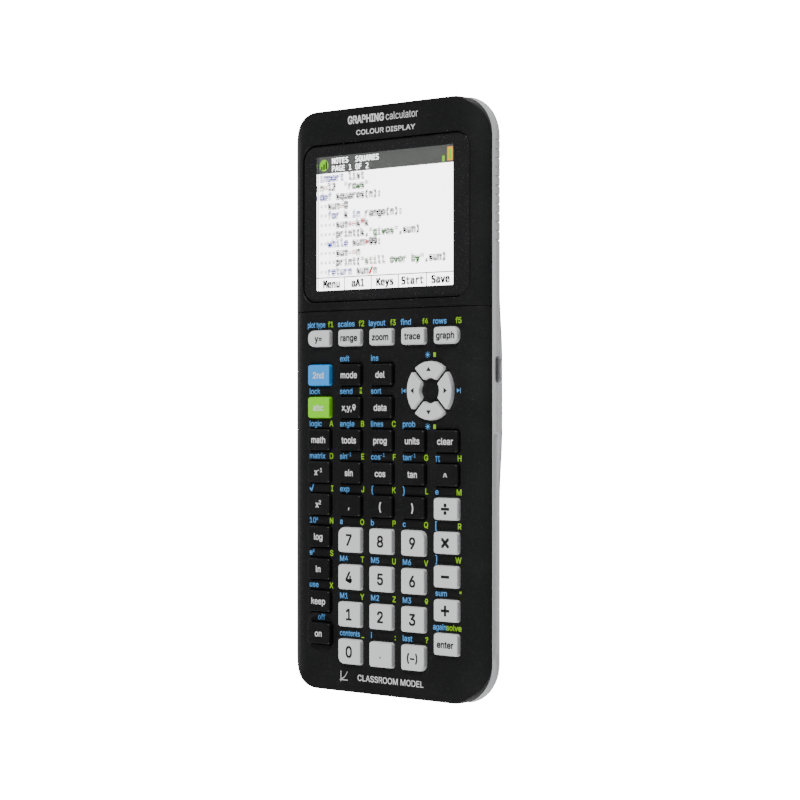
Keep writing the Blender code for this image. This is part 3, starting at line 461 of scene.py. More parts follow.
# The front cover is the face with its holes, the same net again as its underside, and a rounded
# wall round each hole and round the outline between the two.
def buildFrontCover():
    shell = Shell()
    gap, lip = faceLook["holeGap"], faceLook["holeLip"]
    outline = rectArcs(caseX, caseY, faceLook["cornerRadius"])
    holes = [(keyArcs(n), gap + lip) for n in keyNames]
    windowArcs = rectArcs(*windowHalf[:2], windowLook["corner"], windowMid[:2])
    holes.append((windowArcs, gap + windowLook["lip"]))
    loops = [arcRing(outline, 0, 25)[0]]
    loops += [arcRing(arcs, grow)[0] for arcs, grow in holes]
    edge = faceLook["edgeRound"]
    insets = [*(edge * np.array([0.04, 0.12, 0.25, 0.42, 0.65, 1.0])), faceLook["wall"],
              faceLook["wall"] + 0.1]
    loops += [arcRing(outline, -inset, 25)[0] for inset in insets]
    loops += [
        arcRing(circleArcs(radius, keyMiddle["on"][:2]), 0, 13)[0]
        for radius in np.linspace(*faceLook["dishRadius"], 9)
    ]
    angle = np.linspace(0, math.asin((caseX - archStart) / faceLook["archWidth"]), 26)[:-1]
    across = archStart + faceLook["archWidth"] * np.sin(angle)
    lines = [
        np.array([[x, -caseY - 1], [x, caseY + 1]]) for x in np.concatenate([across, -across])
    ]
    rows = seamY + faceLook["seamWidth"] * np.array([-1.6, -1.25, -1, -0.8, 0.8, 1, 1.25, 1.6])
    lines += [np.array([[-caseX - 1, y], [caseX + 1, y]]) for y in rows]

    def inside(points):
        keep = outlineInset(points) > 0
        for arcs, grow in holes:
            keep &= ~insideArcs(points, arcs, grow)
        return keep

    flat, faces = triangulate(loops, lines, inside)
    shell.add(np.column_stack([flat, faceHeight(flat)]), heightNormals(flat, faceHeight), faces)

    def underside(points):
        shallow = outlineInset(points) < faceLook["wall"] + 0.05
        depth = np.maximum(faceHeight(points) - faceLook["wall"], partingZ)
        return np.where(shallow, partingZ, depth)

    shell.add(np.column_stack([flat, underside(flat)]), (0, 0, -1), faces[:, ::-1])
    for arcs, grow in holes:
        round_ = grow - gap
        profile = quarterRound((grow, 0), (gap, -round_), hollow=True)
        profile[:, 2:] = np.column_stack([
            -np.sin(np.linspace(0, math.pi / 2, 5)), np.cos(np.linspace(0, math.pi / 2, 5))
        ])
        rows = shell.rings(arcs, profile, heightAt=faceHeight)
        low = arcRing(arcs, grow)[0]
        low = np.column_stack([low, underside(low)])
        shell.grid(np.array([rows[-1], low]))
    ring, side = arcRing(outline, 0, 25)
    top = faceHeight(ring)
    levels = np.linspace(0, 1, 4)[:, None]
    wall = np.dstack([
        np.broadcast_to(ring, (4, *ring.shape)), top + (partingZ - top) * levels
    ])
    normals = np.broadcast_to(np.column_stack([side, np.zeros(len(side))]), wall.shape)
    shell.grid(wall, normals, flip=True)
    return shell.build("frontCover", [finishes["face"]], "case", ["front_cover"], "black_shell")


def buildKey(name, finish, slotName):
    arcs, shell = keyArcs(name), Shell()
    low = keyBoxes[name][0][2]
    flange = keyLook["arrowFlange" if name in arrowNames else "flange"]
    draft, edge = keyLook["draft"], keyLook["edgeRound"]
    under = faceZ - faceLook["wall"] - 0.35
    shell.rings(arcs, [(flange, low, 1, 0), (flange, under, 1, 0)])
    shell.rings(arcs, [(flange, under, 0, 1), (0, under, 0, 1)])
    shell.rings(arcs, [(0, under, 1, 0), (0, faceZ, 1, 0), (-draft, keyTopZ - edge, 1, 0.1)])
    edges = quarterRound((-draft, keyTopZ - edge), (-draft - edge, keyTopZ), 6)
    top = shell.rings(arcs, edges)[-1]
    shell.cap(top)
    shell.cap(np.column_stack([arcRing(arcs, flange)[0], np.full(len(top), low)]), -1)
    return shell.build("key_cap_" + name, [finish], "key_" + name, ["key_" + name], slotName)


windowLook = {"corner": 5.0, "lip": 0.3}
keyFinish = {s["node"]: s["material_slot"] for s in frame["record"]["subparts"]}
slotFinish = {
    "dark_key": "darkKey", "light_key": "lightKey", "blue_key": "blueKey", "green_key": "greenKey",
}
print("front cover")
buildFrontCover()
print("keys")
for keyName in keyNames:
    keySlot = keyFinish["key_" + keyName]
    buildKey(keyName, finishes[slotFinish[keySlot]], keySlot)


# The rear cover is one grid: rows go up its section and columns round the outline. Rows hold
# (inset from the side, height, angle of the outward normal from straight down).
rearLook = {
    "backEdge": 7.0,
    "sideEdge": 3.0,
    "flank": math.radians(48.7),
    "backCorner": 6.5,
    "belowParting": 1.7,  # of the widest level
    "rimRound": 0.3,
    "wall": 2.0,
    "swell": 1.0,  # of the flanks at the waist
    "waist": (-9.0, 12.0, 22.0),  # its lower end, upper end and fade
    "footHeight": 0.6,
    "ribs": (12, 79.15, 2.77, 0.27, 0.42),  # count, first, pitch, half width, depth
    "channel": (1.4, 0.6, -11.0, -78.0),  # radius, outset and sink, upper end, lower end
    "portSize": (8.4, 2.8),
    "portLip": 0.15,
}
halfX, halfY = 42.0, caseY
backZ = rearLook["footHeight"]
rearTopZ = cadBox("rear_cover")[1][2]
widestZ = partingZ - rearLook["belowParting"]
flank, backEdge, sideEdge = rearLook["flank"], rearLook["backEdge"], rearLook["sideEdge"]
flankRise = widestZ - backZ - sideEdge * math.cos(flank) - backEdge * (1 - math.cos(flank))
backInset = (
    sideEdge * (1 - math.sin(flank)) + flankRise / math.tan(flank) + backEdge * math.sin(flank)
)
socketLow, socketHigh = cadBox("usb_socket")
socketMid = (socketLow + socketHigh) / 2
portZ, portY = socketMid[2], socketMid[1]


def sectionLevels(inward=0.0):
    low = np.linspace(0, flank, 10)
    high = np.linspace(flank, math.pi / 2, 12)
    near, far = backEdge - inward, sideEdge - inward
    lowRows = np.column_stack([
        backInset - near * np.sin(low), backZ + backEdge - near * np.cos(low), low
    ])
    highRows = np.column_stack([sideEdge - far * np.sin(high), widestZ - far * np.cos(high), high])
    between = np.linspace(0, 1, 14)[1:-1, None]
    return np.concatenate([
        lowRows, lowRows[-1] + (highRows[0] - lowRows[-1]) * between, highRows
    ])


def rearStations():
    count, first, pitch, half, _ = rearLook["ribs"]
    bars = (first - pitch * np.arange(count))[:, None] + half * np.array(
        [-1.7, -1.25, -0.95, -0.7, 0, 0.7, 0.95, 1.25, 1.7]
    )
    end = rearLook["channel"][2]
    plain = np.concatenate([
        np.arange(-78, 47, 2.0), np.linspace(end, end + 1.6, 12), [-79.3],
    ])
    return np.unique(np.round(np.concatenate([bars.ravel(), plain]), 3))


def swellAt(y):
    low, high, fade = rearLook["waist"]
    past = np.maximum(np.maximum(y - high, low - y), 0)
    return rearLook["swell"] * (1 - smoothStep(0, fade, past))


# Moves side points in for the grip ribs, which are bell-shaped grooves, and for the channel,
# which is the inside of a tube with a round end.
def carveSide(x, y, z, angle):
    count, first, pitch, half, depth = rearLook["ribs"]
    across = np.abs((first - y + pitch / 2) % pitch - pitch / 2) / half
    along = (y < first + pitch / 2) & (y > first - (count - 0.5) * pitch)
    ends = smoothStep(0.55, 0.75, angle / flank) * (1 - smoothStep(10.0, 10.4, z))
    groove = depth * np.exp(-across ** 4) * along * ends
    x = x - groove * np.sin(angle)
    z = z + groove * np.cos(angle)
    radius, out, high, low = rearLook["channel"]
    past = np.maximum(np.maximum(y - high, low - y), 0)
    room = radius ** 2 - past ** 2 - (z - (rearTopZ - out)) ** 2
    tube = np.where(room > 0, halfX + out - np.sqrt(np.maximum(room, 0)), 1e3)
    return np.minimum(x, tube), z


def rearGrid(levels, carved=True):
    inset, z, angle = (levels[:, k:k + 1] for k in range(3))
    radius = faceLook["cornerRadius"] - inset * (
        faceLook["cornerRadius"] - rearLook["backCorner"]
    ) / backInset
    sideY = rearStations()
    endX = endStations
    turn = np.linspace(0, math.pi / 2, 13)[None]
    coreX, coreY = halfX - inset - radius, halfY - inset - radius
    parts = []
    for quarter in range(4):
        signX, signY = (1, -1, -1, 1)[quarter], (1, 1, -1, -1)[quarter]
        a = turn + quarter * math.pi / 2
        parts.append((signX * coreX + radius * np.cos(a), signY * coreY + radius * np.sin(a),
                      np.broadcast_to(z, (len(z), 13))))
        if quarter in (0, 2):
            x = endX[::-1] if quarter == 0 else endX
            shape = (len(z), len(x))
            parts.append((np.broadcast_to(x, shape),
                          np.broadcast_to(signY * (halfY - inset), shape),
                          np.broadcast_to(z, shape)))
        else:
            y = (sideY[::-1] if quarter == 1 else sideY)[None]
            x = halfX - inset + swellAt(y) * np.sin(2 * angle)
            high = np.broadcast_to(z, x.shape)
            if carved:
                x, high = carveSide(x, y, high, angle)
            parts.append((signX * x if quarter == 3 else -x, np.broadcast_to(y, x.shape), high))
    return np.stack([np.concatenate([p[k] for p in parts], 1) for k in range(3)], -1)


postX, postY = 23.99, halfY - 8.6
endStations = np.unique(np.concatenate([
    np.linspace(-25, 25, 11), postX + np.array([-2.2, 2.2]), -postX - np.array([-2.2, 2.2])
]))


def rearNormals(grid):
    across = np.roll(grid, -1, 1) - np.roll(grid, 1, 1)
    normals = np.cross(across, np.gradient(grid, axis=0))
    normals /= np.maximum(np.linalg.norm(normals, axis=-1, keepdims=True), 1e-12)
    return normals.reshape(-1, 3)


def buildRearCover():
    shell = Shell()
    levels = sectionLevels()
    top = rearTopZ - rearLook["rimRound"]
    rise = np.linspace(widestZ, top, 12)[1:]
    rim = np.column_stack([
        0.5 * ((rise - widestZ) / (top - widestZ)) ** 2, rise, np.full(len(rise), math.pi / 2)
    ])
    turn = np.linspace(0, math.pi / 2, 5)[1:]
    edge = np.column_stack([
        0.5 + rearLook["rimRound"] * (1 - np.cos(turn)), top + rearLook["rimRound"] * np.sin(turn),
        np.full(4, math.pi / 2),
    ])
    levels = np.concatenate([levels, rim, edge])
    grid = rearGrid(levels)
    rows, cols = grid.shape[:2]
    index = np.arange(rows * cols).reshape(rows, cols)
    index = np.concatenate([index, index[:, :1]], 1)
    quads = np.stack([index[:-1, :-1], index[:-1, 1:], index[1:, 1:], index[1:, :-1]], -1)
    nextCol = np.roll(grid, -1, 1)
    keep = np.ones((rows - 1, cols), bool)

    # The port's patch: the net is opened between two stations and two levels, and closed with
    # triangles round the port.
    onSide = (grid[0, :, 0] > 20) & (np.abs(grid[0, :, 1]) < 70)
    reach = rearLook["portSize"][0] / 2 + 1.2
    columns = np.where(onSide & (np.abs(grid[0, :, 1] - portY) < reach + 1.9)
                       & (np.abs(nextCol[0, :, 1] - portY) < reach + 1.9))[0]
    firstRow = int(np.searchsorted(levels[:, 1], 6.4))
    lastRow = int(np.searchsorted(levels[:, 1], 10.6))
    keep[firstRow:lastRow, columns] = False
    a, b = columns[0], columns[-1] + 1
    border = np.concatenate([
        grid[firstRow, a:b], grid[firstRow:lastRow, b], grid[lastRow, b:a:-1],
        grid[lastRow:firstRow:-1, a],
    ])[:, 1:]

    def sideX(flat):
        inset = np.interp(flat[:, 1], levels[:, 1], levels[:, 0])
        angle = np.interp(flat[:, 1], levels[:, 1], levels[:, 2])
        return halfX - inset + swellAt(flat[:, 0]) * np.sin(2 * angle)

    width, height = rearLook["portSize"]
    portArcs = rectArcs(width / 2, height / 2, height * 0.45, (portY, portZ))
    lip = rearLook["portLip"]
    hole = arcRing(portArcs, lip, 9)[0]
    low, high = border.min(0), border.max(0)
    lines = [np.array([[low[0] - 1, z], [high[0] + 1, z]])
             for z in levels[firstRow + 1:lastRow, 1]]

    def inPatch(points):
        boxed = ((points > low) & (points < high)).all(1)
        return boxed & ~insideArcs(points, portArcs, lip)

    flat, faces = triangulate([border, hole], lines, inPatch)
    slopes = heightNormals(flat, sideX)
    shell.add(np.column_stack([sideX(flat), flat]),
              np.column_stack([slopes[:, 2], slopes[:, 0], slopes[:, 1]]), faces)
    tunnel, wallNormals = [], []
    turn = np.linspace(0, math.pi / 2, 5)
    mouth = sideX(hole)
    for grow, depth, out, face in [
        *zip(lip * (1 - np.sin(turn)), lip * (1 - np.cos(turn)), np.sin(turn), np.cos(turn)),
    ]:
        ring, side = arcRing(portArcs, grow, 9)
        tunnel.append(np.column_stack([mouth - depth, ring]))
        wallNormals.append(np.column_stack([np.full(len(ring), face), -side * out]))
    ring, side = arcRing(portArcs, 0, 9)
    tunnel.append(np.column_stack([np.full(len(ring), socketHigh[0] - 3.0), ring]))
    wallNormals.append(np.column_stack([np.zeros(len(ring)), -side]))
    shell.grid(np.array(tunnel), np.array(wallNormals))

    # The flat back, which takes in a patch of the end's curve round each post's recess.
    starts = [int(np.argmin(np.linalg.norm(grid[0, :, :2] - (sx * (postX + 2.2 * sx * sy), sy
              * (halfY - backInset)), axis=1))) for sx in (1, -1) for sy in (1, -1)]
    topRow = 7
    loop, column = [], 0
    while column < cols:
        if column in starts:
            end = column + int(np.argmin(np.abs(
                np.abs(grid[0, column + 1:column + 12, 0] - grid[0, column, 0]) - 4.4))) + 1
            keep[:topRow, column:end] = False
            loop += [grid[:topRow, column], grid[topRow, column:end], grid[topRow:0:-1, end]]
            column = end
        else:
            loop.append(grid[:1, column])
            column += 1
    loop = np.concatenate(loop)[:, :2]

    def backHeight(flat):
        inset = np.minimum(halfY - np.abs(flat[:, 1]), backInset)
        return backZ + backEdge - np.sqrt(backEdge ** 2 - (backInset - inset) ** 2)

    recesses = [circleArcs(1.9, (sx * postX, sy * postY)) for sx in (1, -1) for sy in (1, -1)]
    coverArcs = rectArcs(*(coverHalf[:2] + 0.3), 2.0, coverMid[:2])
    holes = recesses + [coverArcs]
    lines = [np.array([[-30, s * (halfY - i)], [30, s * (halfY - i)]])
             for i in levels[:topRow, 0] for s in (1, -1)]

    def onBack(points):
        x, y = points[:, 0:1], points[:, 1:2]
        nextLoop = np.roll(loop, -1, 0)
        straddles = (loop[:, 1] > y) != (nextLoop[:, 1] > y)
        span = nextLoop[:, 1] - loop[:, 1]
        span = np.where(span == 0, 1e-12, span)
        inside = (straddles & (x < loop[:, 0] + (y - loop[:, 1]) / span
                               * (nextLoop[:, 0] - loop[:, 0]))).sum(1) % 2 == 1
        for arcs in holes:
            inside &= ~insideArcs(points, arcs, 0)
        return inside

    flat, faces = triangulate([loop] + [arcRing(h, 0, 9)[0] for h in holes], lines, onBack)
    slopes = heightNormals(flat, backHeight)
    shell.add(np.column_stack([flat, backHeight(flat)]), -slopes, faces[:, ::-1])
    for arcs, depth in [(h, 3.2) for h in recesses] + [(coverArcs, 1.9)]:
        ring, side = arcRing(arcs, 0, 9)
        wall = np.array([np.column_stack([ring, np.full(len(ring), depth)]),
                         np.column_stack([ring, backHeight(ring)])])
        normals = np.column_stack([-side, np.zeros(len(side))])
        shell.grid(wall, np.broadcast_to(normals, wall.shape), flip=True)
        shell.cap(wall[0], -1)
    shell.add(grid, rearNormals(grid), quads[keep])

    # Inside: over the rim and down the inner wall to the floor.
    inner = sectionLevels(rearLook["wall"])[::-1]
    ledge = rearGrid(np.array([[0.5 + rearLook["rimRound"], rearTopZ, math.pi / 2],
                               [rearLook["wall"], rearTopZ, math.pi / 2]]), carved=False)
    ledge[0] = grid[-1]
    shell.grid(ledge, np.broadcast_to((0, 0, 1.0), ledge.shape))
    inside = rearGrid(np.concatenate([[[rearLook["wall"], rearTopZ, math.pi / 2]], inner]), False)
    shell.grid(inside)
    shell.cap(inside[-1])
    return shell.build("rearCover", [finishes["shell"]], "case", ["rear_cover"], "grey_shell")


coverLow, coverHigh = cadBox("battery_cover")
coverMid, coverHalf = (coverLow + coverHigh) / 2, (coverHigh - coverLow) / 2
print("rear cover")
buildRearCover()


# Battery cover, screws, feet and socket.
backLook = {
    "footRadius": 4.0,
    "footPlaces": (26.0, 79.0),
    "coverCorner": 1.7,
    "coverEdge": 0.35,
    "coverRecess": 2.2,
    "coverScrewY": -70.15,
    "screwRadius": 1.75,
    "crossLength": 1.15,
    "crossWidth": 0.42,
    "crossDepth": 0.5,
}
rubber = plastic("footRubber", (0.05, 0.05, 0.052), 0.75, grain=0.6, wear=0.2, dust=0.1)
steel = plastic("screwSteel", (0.62, 0.62, 0.61), 0.28, grain=0.08, wear=1.0, dust=0.0,
                Metallic=1.0)
socketSteel = plastic("socketSteel", (0.55, 0.55, 0.55), 0.33, grain=0.1, wear=1.0, dust=0.0,
                      Metallic=1.0)
gold = plastic("contactGold", (0.85, 0.62, 0.25), 0.25, grain=0.05, wear=0.6, dust=0.0,
               Metallic=1.0)
tongueBlack = plastic("tongueBlack", (0.012, 0.012, 0.012), 0.4, grain=0.15, dust=0.0)


def buildFoot(number, x, y):
    shell, edge = Shell(), 0.25
    arcs = circleArcs(backLook["footRadius"], (x, y))
    low = quarterRound((0, edge), (-edge, 0), 5)
    low[:, 3] *= -1
    rows = shell.rings(arcs, [*low[::-1], (0, backZ + 0.1, 1, 0)], 13)
    shell.cap(rows[0], -1)
    shell.cap(rows[-1])
    shell.build("foot_" + str(number), [rubber], "case")


# The head faces down, with a cross cut in it.
def buildScrew(name, x, y, low, radius, nodes=(), slotName=None):
    shell, edge = Shell(), 0.2
    far, near = backLook["crossLength"], backLook["crossWidth"] / 2
    arm = np.array([(far, -near), (far, near), (near, near)])
    turned = [arm, arm[:, ::-1] * (-1, 1), -arm, arm[:, ::-1] * (1, -1)]
    cross = np.concatenate([turned[0], turned[1], turned[2], turned[3]]) + (x, y)
    arcs = circleArcs(radius, (x, y))
    profile = quarterRound((0, low + edge), (-edge, low), 5)
    profile[:, 3] *= -1
    rows = shell.rings(arcs, [*profile[::-1], (0, low + 0.9, 1, 0)], 9)
    shell.cap(rows[-1])

    def onHead(points):
        offset = np.abs(points - (x, y))
        slot = (offset.max(1) < far) & (offset.min(1) < near)
        return (np.linalg.norm(offset, axis=1) < radius) & ~slot

    flat, faces = triangulate([rows[0][:, :2], cross], [], onHead)
    shell.add(np.column_stack([flat, np.full(len(flat), low)]), (0, 0, -1), faces[:, ::-1])
    depth = low + backLook["crossDepth"]
    upper = np.column_stack([cross, np.full(len(cross), depth)])
    lower = np.column_stack([cross, np.full(len(cross), low)])
    inward = np.roll(cross, -1, 0) - cross
    inward = np.column_stack([-inward[:, 1], inward[:, 0], np.zeros(len(cross))])
    inward /= np.linalg.norm(inward, axis=1, keepdims=True)
    order = np.arange(len(cross))
    after = np.roll(order, -1)
    for k, m in zip(order, after):
        shell.add([upper[k], upper[m], lower[m], lower[k]], inward[k], [[0, 1, 2, 3]])
    shell.cap(upper, -1)
    shell.build(name, [steel], "case", nodes, slotName)


def buildBatteryCover():
    shell, edge = Shell(), backLook["coverEdge"]
    low, high = coverLow[2], coverHigh[2]
    arcs = rectArcs(*coverHalf[:2], backLook["coverCorner"], coverMid[:2])
    hole = circleArcs(backLook["coverRecess"], (0, backLook["coverScrewY"]))
    profile = quarterRound((0, low + edge), (-edge, low), 5)
    profile[:, 3] *= -1
    rows = shell.rings(arcs, [*profile[::-1], (0, high, 1, 0)], 9)
    outer, screwRing = rows[0][:, :2], arcRing(hole, 0, 9)[0]

    # Ridges across the cover for a thumb, which fade at their ends.
    def underside(points):
        along = smoothStep(14, 9, np.abs(points[:, 0]))
        across = points[:, 1] - coverMid[1] - 20
        wave = np.exp(-((across % 3.0 - 1.5) / 0.5) ** 4) * (np.abs(across) < 6)
        return low + 0.35 * wave * along

    lines = [np.array([[-26, y], [26, y]]) for y in coverMid[1] + 20 + np.arange(-6, 6.01, 0.25)]
    lines += [np.array([[x, coverMid[1] + 13], [x, coverMid[1] + 27]]) for x in range(-15, 16, 1)]

    def onCover(points):
        return insideArcs(points, arcs, -edge) & ~insideArcs(points, hole, 0)

    flat, faces = triangulate([outer, screwRing], lines, onCover)
    shell.add(np.column_stack([flat, underside(flat)]), -heightNormals(flat, underside),
              faces[:, ::-1])
    flat, faces = triangulate([arcRing(arcs, 0, 9)[0], screwRing], [],
                              lambda p: insideArcs(p, arcs, 0) & ~insideArcs(p, hole, 0))
    shell.add(np.column_stack([flat, np.full(len(flat), high)]), (0, 0, 1), faces)
    ring, side = arcRing(hole, 0, 9)
    wall = np.array([np.column_stack([ring, np.full(len(ring), z)]) for z in (low, high)])
    shell.grid(wall, np.broadcast_to(-np.column_stack([side, np.zeros(len(side))]), wall.shape),
               flip=True)
    shell.build("batteryCover", [finishes["shell"]], "case", ["battery_cover"], "grey_shell")


# Rings in planes across X, from rows of (x, grow, outward normal, normal along X).
def sideRings(shell, arcs, rows, slot=0, perArc=7):
    points, normals = [], []
    for x, grow, out, along in rows:
        ring, side = arcRing(arcs, grow, perArc)
        points.append(np.column_stack([np.full(len(ring), x), ring]))
        normals.append(np.column_stack([np.full(len(ring), along), side * out]))
    shell.grid(np.array(points), np.array(normals), slot)
    return points


def buildSocket():
    shell = Shell()
    half = (socketHigh - socketLow) / 2
    back, mouth, wall = socketLow[0], socketHigh[0], 0.3
    outer = rectArcs(half[1], half[2], 0.8, (portY, portZ))
    ends = sideRings(shell, outer, [(back, 0, 1, 0), (mouth - 0.1, 0, 1, 0.2),
                                    (mouth, -0.1, 0.5, 1)])
    shell.add(ends[0], (-1, 0, 0), [np.arange(len(ends[0]))[::-1]])
    sideRings(shell, outer, [(mouth, -0.1, 0, 1), (mouth, -wall, 0, 1)])
    inner = sideRings(shell, outer, [(mouth, -wall, -1, 0), (back + 0.8, -wall, -1, 0)])
    shell.add(inner[-1], (1, 0, 0), [np.arange(len(inner[-1]))])
    tongue = rectArcs(half[1] / 2, 0.3, 0.15, (portY, portZ))
    tip = mouth - 0.6
    tongueRows = [(back + 0.8, 0, 1, 0), (tip - 0.2, 0, 1, 0.3), (tip, -0.12, 0.3, 1)]
    tongueEnds = sideRings(shell, tongue, tongueRows, 1)
    shell.add(tongueEnds[-1], (1, 0, 0), [np.arange(len(tongueEnds[-1]))], 1)
    for k in range(5):
        pad = rectArcs(0.16, 0.04, 0.03, (portY + (k - 2) * 0.62, portZ + 0.3))
        pads = sideRings(shell, pad, [(back + 0.9, 0, 1, 0), (tip - 0.4, 0, 1, 0)], 2)
        shell.add(pads[0], (-1, 0, 0), [np.arange(len(pads[0]))[::-1]], 2)
        shell.add(pads[1], (1, 0, 0), [np.arange(len(pads[1]))], 2)
    shell.build("socket", [socketSteel, tongueBlack, gold], "case", ["usb_socket"], "steel")


print("back and socket")
buildBatteryCover()
buildScrew("batteryCoverScrew", 0, backLook["coverScrewY"], backZ, backLook["screwRadius"],
           ["battery_cover_screw"], "steel")
for number, (sx, sy) in enumerate([(1, 1), (-1, 1), (-1, -1), (1, -1)]):
    buildScrew("case_screw_" + str(number), sx * postX, sy * postY, 2.2, 1.6)
    buildFoot(number, sx * backLook["footPlaces"][0], sy * backLook["footPlaces"][1])
buildSocket()

# Display: a glossy black border, a clear pane in it and the lit page below.
windowLook.update({
    "edge": 0.2,
    "picture": (28.8, 21.6),
    "pictureMiddle": (-0.45, 56.9),
    "pictureCorner": 0.4,
    "headerHeight": 5.4,
    "tabHeight": 4.2,
})
screenLook = {
    "page": 6.0,  # brightness
    "header": 0.14,
    "cell": 0.00018,  # spacing of the display's dots
    "fontSize": 4.1,
    "lineStep": 3.03,
    "columns": 32,
}
borderBlack = plastic("windowBlack", (0.014, 0.014, 0.015), 0.14, grain=0.02, size=0.002,
                      wear=0.4, dust=0.04)


def clearPane():
    made = bpy.data.materials.new("windowClear")
    made.use_nodes = True
    shader = made.node_tree.nodes["Principled BSDF"]
    for key, value in (("Base Color", (1, 1, 1, 1)), ("Roughness", 0.02), ("IOR", 1.3),
                       ("Transmission Weight", 1.0)):
        shader.inputs[key].default_value = value
    return made


# Fine dots over the lit page: brightness dips between cells of the display.
def dotGroup():
    tree, given, result = newGroup("displayDots", [
        ("Spacing", "NodeSocketFloat", 0.00018), ("Dip", "NodeSocketFloat", 0.12),
    ], [("Brightness", "NodeSocketFloat")])
    spot = tree.nodes.new("ShaderNodeTexCoord").outputs["Object"]
    axes = addNode(tree, "ShaderNodeSeparateXYZ", {0: spot})
    waves = []
    for axis in ("X", "Y"):
        turns = mathNode(tree, "DIVIDE", axes.outputs[axis], given["Spacing"])
        wave = mathNode(tree, "COSINE", mathNode(tree, "MULTIPLY", turns, 2 * math.pi))
        waves.append(rangeNode(tree, wave, -1.0, 0.2, 0.0, 1.0))
    lit = mathNode(tree, "MULTIPLY", *waves)
    dark = mathNode(tree, "MULTIPLY", mathNode(tree, "SUBTRACT", 1.0, lit), given["Dip"])
    tree.links.new(mathNode(tree, "SUBTRACT", 1.0, dark), result["Brightness"])
    return tree


dots = dotGroup()


def lit(name, colour, brightness):
    made = bpy.data.materials.new(name)
    made.use_nodes = True
    tree = made.node_tree
    shader = tree.nodes["Principled BSDF"]
    group = addNode(tree, "ShaderNodeGroup", node_tree=dots)
    group.inputs["Spacing"].default_value = screenLook["cell"]
    strength = mathNode(tree, "MULTIPLY", group.outputs["Brightness"], brightness)
    tree.links.new(strength, shader.inputs["Emission Strength"])
    for key, value in (("Base Color", (0.02, 0.02, 0.02, 1)), ("Roughness", 0.35),
                       ("Emission Color", (*colour, 1))):
        shader.inputs[key].default_value = value
    return made


screenInk = {
    "page": lit("screenPage", (1, 1, 1), screenLook["page"]),
    "header": lit("screenHeader", (0.95, 1, 0.95), screenLook["header"]),
    "white": lit("screenWhite", (1, 1, 1), 5.0),
    "black": lit("screenBlack", (1, 1, 1), 0.004),
    "blue": lit("screenBlue", (0.05, 0.08, 1), 0.75),
    "red": lit("screenRed", (1, 0.03, 0.02), 1.1),
    "green": lit("screenGreen", (0.06, 0.55, 0.04), 0.45),
    "grey": lit("screenGrey", (0.8, 0.8, 0.8), 1.4),
    "lime": lit("screenLime", (0.35, 1, 0.02), 1.0),
    "orange": lit("screenOrange", (1, 0.45, 0.02), 1.6),
}
paneTop, paneLow = windowHigh[2], windowLow[2]
pageZ = paneLow - 0.35
pictureX, pictureY = windowLook["picture"]
middleX, middleY = windowLook["pictureMiddle"]


def buildWindow():
    shell, edge = Shell(), windowLook["edge"]
    outer = rectArcs(*windowHalf[:2], windowLook["corner"], windowMid[:2])
    inner = rectArcs(pictureX, pictureY, windowLook["pictureCorner"], (middleX, middleY))
    rows = shell.rings(outer, [(0, paneLow, 1, 0), (0, paneTop - edge, 1, 0)], 9)
    rows = shell.rings(outer, quarterRound((0, paneTop - edge), (-edge, paneTop), 5), 9)
    opening = arcRing(inner, 0, 9)[0]
    topIn = np.column_stack([opening, np.full(len(opening), paneTop)])
    lowIn = np.column_stack([opening, np.full(len(opening), paneLow)])
    shell.grid(np.array([rows[-1], topIn]), np.broadcast_to((0, 0, 1.0), (2, len(topIn), 3)))
    side = arcRing(inner, 0, 9)[1]
    walls = np.broadcast_to(-np.column_stack([side, np.zeros(len(side))]), (2, len(side), 3))
    shell.grid(np.array([topIn, lowIn]), walls)
    lowOut = np.column_stack([arcRing(outer, 0, 9)[0], np.full(len(opening), paneLow)])
    shell.grid(np.array([lowIn, lowOut]), np.broadcast_to((0, 0, -1.0), (2, len(topIn), 3)))
    shell.build("windowBorder", [borderBlack], "case", ["display_window"], "window")
    pane = Shell()
    low, high = paneLow + 0.02, paneTop - 0.02
    edges = pane.rings(inner, [(-0.02, low, 1, 0), (-0.02, high, 1, 0)], 9)
    pane.cap(edges[0], -1)
    pane.cap(edges[1])
    pane.build("windowPane", [clearPane()], "case")


# A block of the display in one colour, given by its sides.
def screenBlock(shell, x0, x1, y0, y1, low, high, slot=0):
    arcs = rectArcs((x1 - x0) / 2, (y1 - y0) / 2, 0.05, ((x0 + x1) / 2, (y0 + y1) / 2))
    edges = shell.rings(arcs, [(0, low, 1, 0), (0, high, 1, 0)], 2, slot=slot)
    shell.cap(edges[0], -1, slot)
    shell.cap(edges[1], 1, slot)


